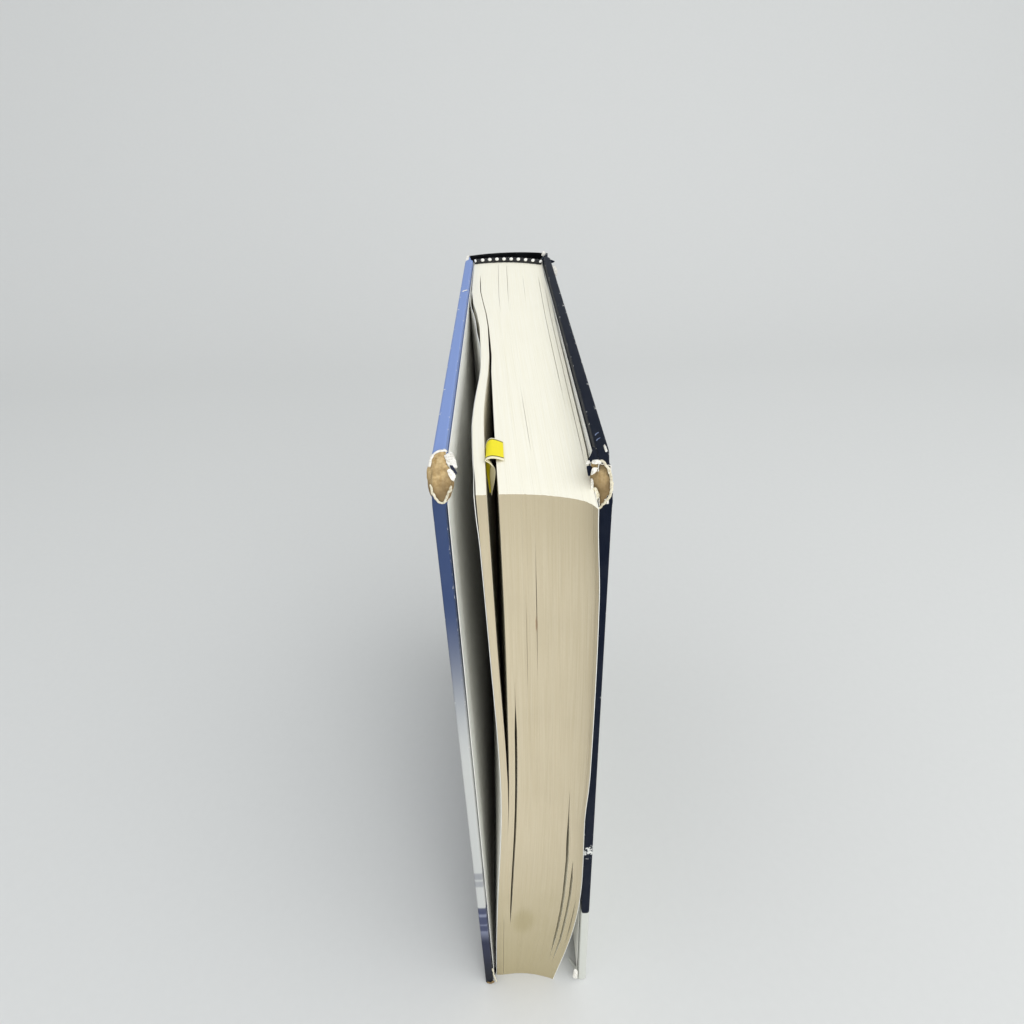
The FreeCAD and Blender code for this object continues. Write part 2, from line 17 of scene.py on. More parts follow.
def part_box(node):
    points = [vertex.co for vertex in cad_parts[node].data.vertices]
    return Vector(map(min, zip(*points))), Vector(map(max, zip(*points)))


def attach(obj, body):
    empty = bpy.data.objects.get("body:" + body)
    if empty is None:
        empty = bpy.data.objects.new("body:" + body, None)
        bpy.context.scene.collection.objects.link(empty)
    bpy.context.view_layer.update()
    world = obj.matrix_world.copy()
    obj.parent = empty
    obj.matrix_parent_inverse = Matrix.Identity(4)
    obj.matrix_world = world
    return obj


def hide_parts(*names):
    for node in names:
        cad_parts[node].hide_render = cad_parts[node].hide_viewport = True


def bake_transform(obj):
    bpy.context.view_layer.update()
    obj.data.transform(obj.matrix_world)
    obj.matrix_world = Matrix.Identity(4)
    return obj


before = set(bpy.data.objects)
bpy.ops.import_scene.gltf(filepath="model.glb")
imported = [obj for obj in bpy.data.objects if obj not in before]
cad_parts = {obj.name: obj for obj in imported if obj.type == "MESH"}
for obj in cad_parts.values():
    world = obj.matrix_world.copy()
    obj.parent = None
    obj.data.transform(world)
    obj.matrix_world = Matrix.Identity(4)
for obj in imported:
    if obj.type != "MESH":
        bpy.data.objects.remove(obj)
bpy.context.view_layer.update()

bl_info = {
    "name": "Worn hardcover textbook",
    "version": (1, 0, 0),
    "blender": (4, 5, 0),
    "location": "3D View > Sidebar > Textbook",
    "description": "Builds the paper, board and thread of a worn hardcover textbook",
    "category": "Object",
}

MM = 0.001
FRONT = -1
BACK = 1
WORD = {FRONT: "front", BACK: "back"}

# ------------------------------------------------------------ sizes of the case, in mm
SPINE_LOW, SPINE_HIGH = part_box("spine_cover")
MIDDLE_X = (SPINE_LOW[0] + SPINE_HIGH[0]) / 2 / MM
BACK_Y = SPINE_HIGH[1] / MM
TALL = SPINE_HIGH[2] / MM
HALF = 19.85                # middle to the outside of a cover
DEEP = 210.5                # boards' fore-edge to the back of the spine
SPINE_Y = DEEP / 2
FORE_Y = -DEEP / 2
SHOULDER_DROP = 4.6         # spine's roundness, from its middle to its shoulders
SHOULDER_Y = SPINE_Y - SHOULDER_DROP
JOINT = 8.6                 # groove between spine and board
JOINT_Y = SHOULDER_Y - JOINT
GROOVE = 1.6                # its depth
PAPER = 0.3                 # thickness of the printed paper
BOARD = 2.6                 # thickness of the greyboard
COVER = BOARD + 2 * PAPER   # board in its paper
TURN_IN = 15.0              # printed paper folded over the boards' inner faces
SPINE_THICK = 1.3           # spine paper, card and turn-in
GROOVE_THICK = 0.65         # paper and turn-in, where there is no board between
HINGE = (HALF + 0.15, SHOULDER_Y - JOINT / 2)
TOE_OUT = {FRONT: 0.56, BACK: 0.62}     # degrees that each cover stands open at rest
FOLD = 0.5                  # radius of paper folded round a board
FOLD_Y = SHOULDER_Y - 0.45  # where a flyleaf turns back to become its pastedown
CORNER_END_Y = FORE_Y + 16  # the worn corners reach no further from the fore-edge than this
# head corners bare of paper: along the head outside and inside, down the fore-edge outside
# and inside, and how much lower the tear hangs between
TORN = {FRONT: (9.5, 12.2, 5.0, 7.6, 2.0), BACK: (1.2, 2.4, 6.4, 10.6, 1.0)}
SWOLLEN = {FRONT: 1.9, BACK: 0.3}       # how far those corners of the boards bulge inwards
PINCHED = {FRONT: 0.5, BACK: 0.9}       # how far their outsides are knocked in

# ------------------------------------------------------------ sizes of the leaves, in mm
LEAF_TALL = 254.0
LEAF_DEEP = 204.0
BLOCK_HALF = 15.9           # half the block's thickness at its spine
FRONT_EAR = 1.9             # how far the first leaf's spine edge lies short of LEAF_DEEP
BACK_EAR = 7.0              # and the last leaf's
SPINE_ROUND = 35.6          # radius of the rounded spine
LOOSE = 3.2                 # thickness of the loose front leaves
SLIT_Y = 158.0              # bottom of the open slit behind them
FRONT_PART_Y = 142.0        # where the first leaf starts to spread, and the last one
BACK_PART_Y = 120.0
SAG = 1.0                   # degrees
BLOCK_BASE = (0.0, FORE_Y + 3.2, 0.2)   # tail of the fore-edge, in the case
HEIGHTS = (0.0, 35.0, 65.0, 130.0, 200.0, 254.0)
SPREAD = {                  # leaves at the fore-edge, from the middle, at those heights
    "loose_left": (-17.0, -15.4, -13.6, -9.7, -10.1, -11.0),
    "loose_right": (-14.1, -12.7, -11.2, -7.5, -8.1, -8.5),
    "main_left": (-14.0, -12.6, -11.1, -7.1, -5.7, -5.5),
    "main_right": (7.6, 14.0, 17.2, 17.8, 18.0, 17.3),
}


# ------------------------------------------------------------ small tools
def smooth(value, low, high):
    """0 before low, 1 after high, and an even rise between."""
    part = min(max((value - low) / (high - low), 0.0), 1.0)
    return part * part * (3 - 2 * part)


def window(value, low, high, soft):
    """1 between low and high, and 0 a soft way outside them."""
    return smooth(value, low - soft, low) * (1 - smooth(value, high, high + soft))


def fibre(x, y, z, grain, seed=0.0):
    """Even noise from -1 to 1 with lumps of one grain size."""
    return noise.noise(Vector((x / grain + seed, y / grain - seed, z / grain + 2 * seed)))


def turned(x, y, centre, degrees):
    """A level point turned about a centre."""
    angle = math.radians(degrees)
    dx, dy = x - centre[0], y - centre[1]
    return (centre[0] + dx * math.cos(angle) - dy * math.sin(angle),
            centre[1] + dx * math.sin(angle) + dy * math.cos(angle))


def in_case(x, y, z, side, opened=1.0):
    """Case place of the back side, mirrored for the front and toed out, in metres."""
    x, y = turned(x, y, HINGE, TOE_OUT[side] * opened)
    return Vector(((side * x + MIDDLE_X) * MM, (y - SPINE_Y + BACK_Y) * MM, z * MM))


def in_block(x, y, z):
    """Leaves' place to the book's, in metres."""
    sag = math.radians(SAG)
    deep = BLOCK_BASE[1] + y * math.cos(sag) - z * math.sin(sag)
    high = BLOCK_BASE[2] + y * math.sin(sag) + z * math.cos(sag)
    return Vector(((x + MIDDLE_X) * MM, (deep - SPINE_Y + BACK_Y) * MM, high * MM))


def linear(code):
    """sRGB hex to linear red, green, blue."""
    parts = [int(code[i:i + 2], 16) / 255 for i in (0, 2, 4)]
    return tuple(p / 12.92 if p <= 0.04045 else ((p + 0.055) / 1.055) ** 2.4 for p in parts)


def steps(low, high, count):
    """Even steps from low to high, both ends among them."""
    return [low + (high - low) * i / count for i in range(count + 1)]


class Rail:
    """A level line drawn by turns and runs, in mm."""

    def __init__(self, x, y):
        """Start at a place."""
        self.bm = bmesh.new()
        self.tip = self.bm.verts.new((x, y, 0))

    def turn(self, x, y, degrees, count):
        """Turn about a centre."""
        made = bmesh.ops.spin(self.bm, geom=[self.tip], cent=(x, y, 0), axis=(0, 0, 1),
                              angle=math.radians(degrees), steps=count, use_merge=False)
        self.tip = next(g for g in made["geom_last"] if isinstance(g, bmesh.types.BMVert))

    def run(self, x, y, count):
        """Go straight to a place."""
        step = (Vector((x, y, 0)) - self.tip.co) / count
        for _ in range(count):
            made = bmesh.ops.extrude_vert_indiv(self.bm, verts=[self.tip])
            self.tip = made["verts"][0]
            bmesh.ops.translate(self.bm, verts=[self.tip], vec=step)

    def soften(self, x, y, reach, rounds):
        """Round the corners near a place."""
        near = [v for v in self.bm.verts if (v.co - Vector((x, y, 0))).length < reach]
        for _ in range(rounds):
            bmesh.ops.smooth_vert(self.bm, verts=near, factor=0.5,
                                  use_axis_x=True, use_axis_y=True, use_axis_z=True)

    def read(self):
        """Places, left-hand normals and lengths along the line."""
        places = [v.co.copy() for v in self.bm.verts]
        self.bm.free()
        far = [0.0]
        for a, b in zip(places, places[1:]):
            far.append(far[-1] + (b - a).length)
        normals = []
        for i in range(len(places)):
            way = places[min(i + 1, len(places) - 1)] - places[max(i - 1, 0)]
            normals.append(Vector((-way.y, way.x, 0)).normalized())
        return places, normals, far


def grid(columns, rows, place, flat=lambda u, v: (u, v), drop=None, dress=None):
    """A sheet cut on a grid, bent into place, with its flat place in its UV map.

    place, flat, drop and dress take the values in columns and rows; dress gives a face its
    material.
    """
    bm = bmesh.new()
    across, up = len(columns) - 1, len(rows) - 1
    bmesh.ops.create_grid(bm, x_segments=across, y_segments=up, size=0.5)
    cells = {}
    for vert in bm.verts:
        i, k = round((vert.co.x + 0.5) * across), round((vert.co.y + 0.5) * up)
        cells[vert] = columns[i], rows[k]
    uv = bm.loops.layers.uv.new("Flat")
    lost = []
    for face in bm.faces:
        for loop in face.loops:
            u, v = flat(*cells[loop.vert])
            loop[uv].uv = (u * MM, v * MM)
        u = sum(cells[v][0] for v in face.verts) / 4
        v = sum(cells[v][1] for v in face.verts) / 4
        if drop and drop(u, v):
            lost.append(face)
        elif dress:
            face.material_index = dress(u, v)
    for vert, (u, v) in cells.items():
        vert.co = place(u, v)
    bmesh.ops.delete(bm, geom=lost, context="FACES")
    return bm


def new_object(name, bm, materials, closed=True):
    """A mesh object from a bmesh, its faces outwards."""
    if closed:
        bmesh.ops.recalc_face_normals(bm, faces=bm.faces)
    mesh = bpy.data.meshes.new(name)
    bm.to_mesh(mesh)
    bm.free()
    thing = bpy.data.objects.new(name, mesh)
    bpy.context.scene.collection.objects.link(thing)
    for material in materials:
        mesh.materials.append(material)
    return thing


def shade_smooth(thing, angle):
    """Shade smooth, with edges over an angle in degrees left sharp."""
    thing.data.shade_smooth()
    thing.data.set_sharp_from_angle(angle=math.radians(angle))


def settle(thing):
    """Apply every modifier."""
    depsgraph = bpy.context.evaluated_depsgraph_get()
    done = bpy.data.meshes.new_from_object(thing.evaluated_get(depsgraph))
    done.name = thing.name
    thing.modifiers.clear()
    thing.data = done


def thicken(thing, thick, rim=0, inwards=True, behind=0):
    """Give a sheet its thickness behind its faces; rim and behind are the material steps
    for its edges and its new side."""
    solid = thing.modifiers.new("Thickness", "SOLIDIFY")
    solid.thickness = thick * MM
    solid.offset = -1 if inwards else 1
    solid.use_even_offset = True
    solid.thickness_clamp = 1.0
    solid.material_offset_rim = rim
    solid.material_offset = behind
    settle(thing)


# ------------------------------------------------------------ materials
# kinds of node: type, settings, the inputs that are fed in turn, and the output that is used
PLACE = "TexCoord", {}, (), "Object"                    # where a point lies in the book
SHEET = "UVMap", {"uv_map": "Flat"}, (), "UV"           # where it lies on its own sheet, laid flat
X_OF, Y_OF, Z_OF = (("SeparateXYZ", {}, (0,), k) for k in range(3))
SCALED = "Mapping", {}, ("Vector", "Scale", "Location"), 0
LENGTH = "VectorMath", {"operation": "LENGTH"}, (0,), "Value"
NOISE = "TexNoise", {}, ("Vector", "Scale", "Detail", "Roughness"), "Fac"
RELIEF = "Bump", {}, ("Height", "Strength", "Distance"), 0
MIX = "Mix", {"data_type": "RGBA"}, (0, 6, 7), 2        # share of the second colour, and both
RISE = "MapRange", {"interpolation_type": "SMOOTHSTEP"}, (0, 1, 2, 3, 4), 0     # from low to high
PLUS, MINUS, TIMES, OVER, POWER, TIMES_PLUS, LOWER, HIGHER, SIZE, SINE = (
    ("Math", {"operation": word}, (0, 1, 2), 0) for word in (
        "ADD", "SUBTRACT", "MULTIPLY", "DIVIDE", "POWER", "MULTIPLY_ADD", "MINIMUM", "MAXIMUM",
        "ABSOLUTE", "SINE"))


def add(tree, kind, *given):
    """Add a node, set it, and feed its inputs in turn from sockets, numbers and colours."""
    word, settings, inputs, output = kind
    node = tree.nodes.new("ShaderNode" + word)
    for name, setting in settings.items():
        setattr(node, name, setting)
    for at, value in zip(inputs, given):
        socket = node.inputs[at]
        if isinstance(value, bpy.types.NodeSocket):
            tree.links.new(value, socket)
        elif socket.type == "RGBA":
            socket.default_value = (*value[:3], 1)
        else:
            socket.default_value = value
    return node.outputs[output]


def new_material(name, roughness, **settings):
    """A material with a Principled shader: the material, its tree and the shader."""
    material = bpy.data.materials.new(name)
    material.use_nodes = True
    tree = material.node_tree
    tree.nodes.clear()
    shader = tree.nodes.new("ShaderNodeBsdfPrincipled")
    shader.inputs["Roughness"].default_value = roughness
    for socket, value in settings.items():
        shader.inputs[socket.replace("_", " ")].default_value = value
    end = tree.nodes.new("ShaderNodeOutputMaterial")
    tree.links.new(shader.outputs[0], end.inputs["Surface"])
    return material, tree, shader


def coat(tree, shader, colour, height, depth):
    """Give a shader its colour, and a relief of a height from 0 to 1 times a depth in mm."""
    tree.links.new(colour, shader.inputs["Base Color"])
    tree.links.new(add(tree, RELIEF, height, 1.0, depth * MM), shader.inputs["Normal"])


def speckle(tree, place, size, detail=2.0, roughness=0.5, stretch=(1, 1, 1)):
    """Lumps of a size in mm, stretched along the axes."""
    scaled = add(tree, SCALED, place, [1 / (size * MM * s) for s in stretch])
    return add(tree, NOISE, scaled, 1.0, detail, roughness)


# stains on the fore-edge: middle and half-size in mm, across and up; colour; strength
STAINS = (
    ((11.5, 47.0), (7.0, 15.0), linear("9A8E66"), 0.42),
    ((13.7, 212.0), (0.4, 4.0), linear("8A6040"), 0.6),
)


def book_paper(name, tone, grime_and_gap_shade, cloudy, handled=False):
    """Uncoated book paper, cut: hundreds of leaf edges side by side.

    The edges of the leaves show as fine streaks along the block; the darker streaks are partly the
    leaves' own tone and partly painted shade between them. Real leaves are 0.09 mm thick, too fine
    to show, so the streaks are drawn as clumps of 0.35 and 1.1 mm. A handled fore-edge has finger dirt
    in soft patches.
    """
    material, tree, shader = new_material(name, 0.85, Specular_IOR_Level=0.25)
    flat = add(tree, SHEET)
    fine = speckle(tree, flat, 0.35, 1.0, 0.5, (1, 90, 1))
    coarse = speckle(tree, flat, 1.1, 2.0, 0.6, (1, 60, 1))
    fleck = speckle(tree, flat, 0.8, 4.0, 0.7, (1, 1.6, 1))
    clouds = speckle(tree, add(tree, PLACE), 26.0, 3.0, 0.55)
    lines = add(tree, PLUS, add(tree, TIMES, fine, 0.6), add(tree, TIMES, coarse, 0.4))
    # darker streaks: the leaves' own tone, partly painted shade between gatherings of leaves
    shade = add(tree, MIX, add(tree, RISE, lines, 0.30, 0.70), grime_and_gap_shade, tone)
    shade = add(tree, MIX, add(tree, RISE, fleck, 0.52, 0.72, 0.0, 0.6), shade, grime_and_gap_shade)
    dark = [c * 0.8 for c in grime_and_gap_shade]
    shade = add(tree, MIX, add(tree, RISE, clouds, 0.45, 0.8, 0.0, cloudy), shade, dark)
    if handled:
        # browner at the foot, greyer near the head, a finger stain and a rust spot
        high = add(tree, Y_OF, flat)
        uneven = add(tree, TIMES_PLUS, clouds, 0.06, high)
        low_down = add(tree, RISE, uneven, 0.150, 0.02, 0.0, 0.85)
        shade = add(tree, MIX, low_down, shade, linear("A59A78"))
        shade = add(tree, MIX, add(tree, RISE, high, 0.225, 0.258, 0.0, 0.4), shade, linear("A99D80"))
        for middle, size, colour, strength in STAINS:
            spot = add(tree, SCALED, flat, (1 / (size[0] * MM), 1 / (size[1] * MM), 1),
                       (-middle[0] / size[0], -middle[1] / size[1], 0))
            patchy = add(tree, PLUS, add(tree, LENGTH, spot), add(tree, TIMES, fleck, 0.9))
            stained = add(tree, RISE, patchy, 1.35, 0.75, 0.0, strength)
            shade = add(tree, MIX, stained, shade, colour)
    coat(tree, shader, shade, lines, 0.03)
    return material


# thin bands low on the front cover: height and half-breadth in metres, and strength
BANDS = (
    (0.0478, 0.0014, 0.9),
    (0.0536, 0.0020, 0.9),
    (0.0611, 0.0016, 0.9),
    (0.0810, 0.0012, 0.4),
    (0.0860, 0.0012, 0.45),
)
BAND_SOFT = 0.0016          # metres over which a band fades
HALF_FORE_EDGE = 0.00175    # metres from the middle of a board's printed edge to its folds
FOOT_EDGE = 0.0563, 0.0569  # metres up, from the end of the back cover's pale foot to full navy
ROUND_HEAD = 0.002          # metres that this foot's round head rises on the fore-edge
SCUFF_HIGH = 0.0997         # metres up to the scuff on the back fore-edge


def printed_case(settings, side):
    """Printed paper under a matt-gloss film, machine cased: fields of colour, rubbed white at
    the folds where film and ink have gone. The film gives a soft even shine. Places on the
    sheet are in metres here, as its UV map holds them."""
    name = "laminated_paper_" + WORD[side]
    material, tree, shader = new_material(name, 0.5, Specular_IOR_Level=0.07)
    flat = add(tree, SHEET)
    along, high = add(tree, X_OF, flat), add(tree, Y_OF, flat)
    # the pale foot of spine and back cover ends in a round head on the fore-edge
    middle = (FOLD_AT + INNER_AT) / 2 * MM
    from_middle = add(tree, SIZE, add(tree, MINUS, along, middle))
    away = add(tree, OVER, from_middle, HALF_FORE_EDGE)
    dip = add(tree, TIMES, add(tree, POWER, away, 4.0), ROUND_HEAD)
    dip = add(tree, LOWER, dip, ROUND_HEAD)
    foot = add(tree, RISE, add(tree, MINUS, high, dip), *FOOT_EDGE)
    print_colour = add(tree, MIX, foot, settings.back_foot, settings.navy)
    if side == FRONT:
        cloud = speckle(tree, flat, 70.0, 2.0, 0.5, (1.0, 0.45, 1))
        soft = add(tree, TIMES_PLUS, add(tree, MINUS, cloud, 0.5), 0.006, high)
        # deeper blue near the front cover's fore-edge, round onto it and its turn-in: partly a deeper
        # print, partly painted shade of the fore-edge face; the head fold keeps the lit blue
        dusk_and_shade = add(tree, RISE, along, 0.205, 0.222)
        dusk_and_shade = add(tree, MIX, dusk_and_shade, settings.front_blue, settings.front_dusk_and_shade)
        top = add(tree, MIX, add(tree, RISE, high, 0.2575, 0.2595), dusk_and_shade, settings.front_blue)
        face = add(tree, MIX, add(tree, RISE, soft, 0.150, 0.222), settings.front_pale, top)
        face = add(tree, MIX, add(tree, RISE, soft, 0.0600, 0.0645), settings.front_haze, face)
        for band_high, half, strength in BANDS:
            from_band = add(tree, SIZE, add(tree, MINUS, soft, band_high))
            band_here = add(tree, RISE, from_band, half, half + BAND_SOFT, strength, 0.0)
            face = add(tree, MIX, band_here, face, settings.front_band)
        face = add(tree, MIX, add(tree, RISE, soft, 0.036, 0.0475), settings.front_foot, face)
        face = add(tree, MIX, add(tree, RISE, soft, 0.004, 0.036), linear("1F2128"), face)
        print_colour = add(tree, MIX, add(tree, RISE, along, 0.0152, 0.0158), print_colour, face)
    # the spine's headcap darkened to near black: painted shade of the turned-in headcap
    on_spine = add(tree, RISE, along, (SHOULDER_AT - 0.3) * MM, (SHOULDER_AT + 0.3) * MM, 1.0, 0.0)
    cap_shade = add(tree, TIMES, add(tree, RISE, high, 0.2570, 0.2590), on_spine)
    print_colour = add(tree, MIX, cap_shade, print_colour, linear("050609"))
    mottle = add(tree, RISE, speckle(tree, flat, 9.0, 4.0, 0.6), 0.35, 0.75, 0.0, 0.012)
    print_colour = add(tree, MIX, mottle, print_colour, linear("A9AFB8"))
    # rubbing: at the folds round the boards, outside and inside, and at the spine's shoulders
    edge = add(tree, SIZE, add(tree, MINUS, high, TALL / 2 * MM))
    outer = add(tree, SIZE, add(tree, MINUS, edge, TALL / 2 * MM))
    inner = add(tree, SIZE, add(tree, MINUS, edge, (TALL / 2 + 2.9) * MM))
    near = add(tree, LOWER, outer, inner)
    for spot in (FOLD_AT, INNER_AT, SHOULDER_AT):
        gap = add(tree, SIZE, add(tree, MINUS, along, spot * MM))
        near = add(tree, LOWER, near, gap)
    chips = speckle(tree, flat, 2.6, 5.0, 0.7)
    rubbed = add(tree, MINUS, chips, add(tree, TIMES, near, 150.0))
    worn = add(tree, RISE, rubbed, 0.56, 0.63)
    colour = add(tree, MIX, worn, print_colour, linear("E9E8E2"))
    scratch = speckle(tree, flat, 1.4, 3.0, 0.5, (14, 1, 1))
    colour = add(tree, MIX, add(tree, RISE, scratch, 0.70, 0.80, 0.0, 0.05), colour, linear("C9CDD2"))
    if side == BACK:
        # fore-edge scuffed to white a third of the way up
        from_scuff = add(tree, SIZE, add(tree, MINUS, high, SCUFF_HIGH))
        scuff = add(tree, MINUS, chips, add(tree, TIMES, from_scuff, 38.0))
        on_edge = add(tree, RISE, away, 1.15, 0.95)
        strength = add(tree, TIMES, add(tree, RISE, scuff, 0.43, 0.49), on_edge)
        colour = add(tree, MIX, strength, colour, linear("D5D6D2"))
    tree.links.new(add(tree, RISE, worn, 0.0, 1.0, 0.5, 0.85), shader.inputs["Roughness"])
    coat(tree, shader, colour, add(tree, PLUS, add(tree, TIMES, worn, -0.6), scratch), 0.03)
    return material


def plain_paper(name, tone, shadow, grain, depth):
    """Uncoated paper, calendered: faint cloudiness from its fibres, clouds of grain mm."""
    material, tree, shader = new_material(name, 0.82, Specular_IOR_Level=0.25)
    place = add(tree, PLACE)
    clouds = speckle(tree, place, grain, 4.0, 0.6)
    fibres = speckle(tree, place, 0.6, 3.0, 0.6, (1, 3, 3))
    colour = add(tree, MIX, add(tree, RISE, clouds, 0.35, 0.7), tone, shadow)
    coat(tree, shader, colour, fibres, depth)
    return material


def greyboard():
    """Greyboard, pressed from waste paper pulp: tan, layered, woolly where it has swollen."""
    material, tree, shader = new_material("greyboard_split", 0.95, Specular_IOR_Level=0.15)
    place = add(tree, PLACE)
    wool = speckle(tree, place, 1.3, 5.0, 0.65)
    layers = speckle(tree, place, 0.5, 2.0, 0.6, (1, 9, 9))
    dirt = speckle(tree, place, 3.6, 2.0, 0.6)
    colour = add(tree, MIX, add(tree, RISE, wool, 0.30, 0.66), linear("AA8E5E"), linear("D6BA88"))
    colour = add(tree, MIX, add(tree, RISE, layers, 0.42, 0.62, 0.0, 0.35), colour, linear("CBB78E"))
    colour = add(tree, MIX, add(tree, RISE, dirt, 0.46, 0.66, 0.0, 0.5), colour, linear("705A3C"))
    # lighter on the head face and browner below it: painted shade on the corner's sides, which the
    # light from above reaches less
    high = add(tree, Z_OF, place)
    colour = add(tree, MIX, add(tree, RISE, high, 0.2535, 0.2600, 0.85, 0.0), colour, linear("6F5C40"))
    coat(tree, shader, colour, add(tree, PLUS, wool, layers), 0.1)
    return material


def torn_paper(name, tone, shadow):
    """Torn paper core: pure pulp, felted, with no film or ink left on it."""
    material, tree, shader = new_material(name, 0.95, Specular_IOR_Level=0.1)
    place = add(tree, PLACE)
    felt = speckle(tree, place, 0.7, 5.0, 0.7)
    coat(tree, shader, add(tree, MIX, add(tree, RISE, felt, 0.35, 0.6), shadow, tone), felt, 0.12)
    return material


def woven(name, thread, gap, pitch):
    """Open cotton scrim, plain weave: threads cross at a pitch in mm."""
    material, tree, shader = new_material(name, 0.9)
    place = add(tree, PLACE)
    turn = 2 * math.pi / (pitch * MM)
    warp = add(tree, SINE, add(tree, TIMES, add(tree, Y_OF, place), turn))
    weft = add(tree, SINE, add(tree, TIMES, add(tree, Z_OF, place), turn))
    weave = add(tree, RISE, add(tree, HIGHER, warp, weft), -0.2, 0.9)
    coat(tree, shader, add(tree, MIX, weave, gap, thread), weave, 0.08)
    return material


def silk(name, tone, light):
    """Dyed rayon thread, wound: fine ribs with a low sheen. Thread of 0.25 mm is too fine to
    show, so its ribs are drawn 0.5 mm apart."""
    material, tree, shader = new_material(name, 0.6, Sheen_Weight=0.06)
    turn = 2 * math.pi / (0.5 * MM)
    ribs = add(tree, SINE, add(tree, TIMES, add(tree, X_OF, add(tree, PLACE)), turn))
    ribs = add(tree, RISE, ribs, -1.0, 1.0)
    # the crests of the ribs are painted lighter: a painted highlight along each turn of thread
    coat(tree, shader, add(tree, MIX, ribs, tone, light), ribs, 0.06)
    return material


def printed_slip(settings):
    """Uncoated paper, offset printed: a yellow field, a dark rule and a cream margin."""
    material, tree, shader = new_material("printed_slip_paper", 0.7)
    flat = add(tree, SHEET)
    across = add(tree, Y_OF, flat)
    # the margin runs along the near edge and spreads over the hanging end
    spread = add(tree, RISE, add(tree, X_OF, flat), 0.007, 0.015, 0.0, 0.0052)
    edge = add(tree, MINUS, across, spread)
    rule, margin = linear("4E4A12"), linear("F0E9C8")
    colour = add(tree, MIX, add(tree, RISE, edge, -0.0042, -0.0040), rule, settings.yellow)
    colour = add(tree, MIX, add(tree, RISE, edge, -0.0047, -0.0045), margin, colour)
    colour = add(tree, MIX, add(tree, RISE, across, 0.0046, 0.0048), colour, rule)
    colour = add(tree, MIX, add(tree, RISE, across, 0.0051, 0.0053), colour, margin)
    fleck = speckle(tree, add(tree, PLACE), 1.2, 3.0, 0.6)
    colour = add(tree, MIX, add(tree, RISE, fleck, 0.5, 0.8, 0.0, 0.2), colour, linear("D9C23A"))
    coat(tree, shader, colour, fleck, 0.02)
    return material


def studio_board(name, tone):
    """Painted studio board, rolled: plain, with a barely seen grain."""
    material, tree, shader = new_material(name, 0.9, Specular_IOR_Level=0.1)
    grain = speckle(tree, add(tree, PLACE), 4.0, 3.0, 0.5)
    low = [c * 0.97 for c in tone]
    tree.links.new(add(tree, MIX, grain, tone, low), shader.inputs["Base Color"])
    return material


# ------------------------------------------------------------ the case's path
def case_rail():
    """The outside of the back half: mid-spine, shoulder, groove, board, and in round its edge."""
    spine_round = (HALF ** 2 + SHOULDER_DROP ** 2) / (2 * SHOULDER_DROP)
    sweep = math.degrees(math.asin(HALF / spine_round))
    groove_round = ((JOINT / 2) ** 2 + GROOVE ** 2) / (2 * GROOVE)
    groove_sweep = 2 * math.degrees(math.asin(JOINT / 2 / groove_round))
    centre_y = SPINE_Y - spine_round
    rail = Rail(0, SPINE_Y)
    rail.turn(0, centre_y, -sweep * 0.9, 10)
    rail.turn(0, centre_y, -sweep * 0.1, 5)
    rail.turn(HALF - GROOVE + groove_round, (SHOULDER_Y + JOINT_Y) / 2, groove_sweep, 18)
    rail.run(HALF, JOINT_Y - 3, 8)
    rail.soften(HALF, SHOULDER_Y, 1.4, 8)
    rail.soften(HALF, JOINT_Y, 1.6, 8)
    rail.run(HALF, FORE_Y + 22, 14)
    rail.run(HALF, FORE_Y + FOLD, 44)
    rail.turn(HALF - FOLD, FORE_Y + FOLD, -90, 4)
    rail.run(HALF - COVER + FOLD, FORE_Y, 4)
    rail.turn(HALF - COVER + FOLD, FORE_Y + FOLD, -90, 4)
    rail.run(HALF - COVER, FORE_Y + TURN_IN, 29)
    return rail.read()


RAIL_PLACES, RAIL_NORMALS, RAIL_LENGTHS = case_rail()


def length_at(test):
    """Length along the rail of the first place that passes a test."""
    return next(far for place, far in zip(RAIL_PLACES, RAIL_LENGTHS) if test(place))


SHOULDER_AT = length_at(lambda p: p.y < SHOULDER_Y + 0.2)
GROOVE_END_AT = length_at(lambda p: p.y < JOINT_Y)
FOLD_AT = length_at(lambda p: p.y < FORE_Y + FOLD + 0.01)
INNER_AT = length_at(lambda p: p.y < 0 and p.x < HALF - COVER + 0.01)


def case_thick(far):
    """What the head and tail fold wraps: card at the spine, nothing in the groove, board."""
    past_spine = smooth(far, SHOULDER_AT - 1.5, SHOULDER_AT + 0.5)
    on_board = smooth(far, GROOVE_END_AT - 3.2, GROOVE_END_AT - 1.5)
    spine = SPINE_THICK + (GROOVE_THICK - SPINE_THICK) * past_spine
    return spine + (COVER - GROOVE_THICK) * on_board


def fold_end(past, thick):
    """Depth and height of a sheet that wraps an end, past the start of its bend."""
    bend = min(FOLD, thick / 2.02)
    arc = bend * math.pi / 2
    level = thick - 2 * bend
    past += bend - FOLD
    if past <= 0:
        return 0.0, bend - past
    if past < arc:
        return bend - bend * math.cos(past / bend), bend - bend * math.sin(past / bend)
    if past < arc + level:
        return bend + past - arc, 0.0
    if past < 2 * arc + level:
        angle = (past - arc - level) / bend
        return thick - bend + bend * math.sin(angle), bend - bend * math.cos(angle)
    return thick, bend + past - 2 * arc - level


def corner_reach(y, z, side, inside=1.0):
    """How far outside the torn corner's ragged edge a place lies, in mm; inside is 0 on a
    board's outer face and 1 on its inner one."""
    a, b = y - FORE_Y, TALL - z
    outer, inner, low, deep, hang = TORN[side]
    along = outer + (inner - outer) * inside
    down = low + (deep - low) * inside + hang * 4 * inside * (1 - inside)
    seed = 4.0 + side
    ragged = 0.45 * fibre(a, b, seed, 3.2) + 0.35 * fibre(a, b, seed, 1.1)
    return (a / along + b / down - 1) * along * down / math.hypot(along, down) + ragged


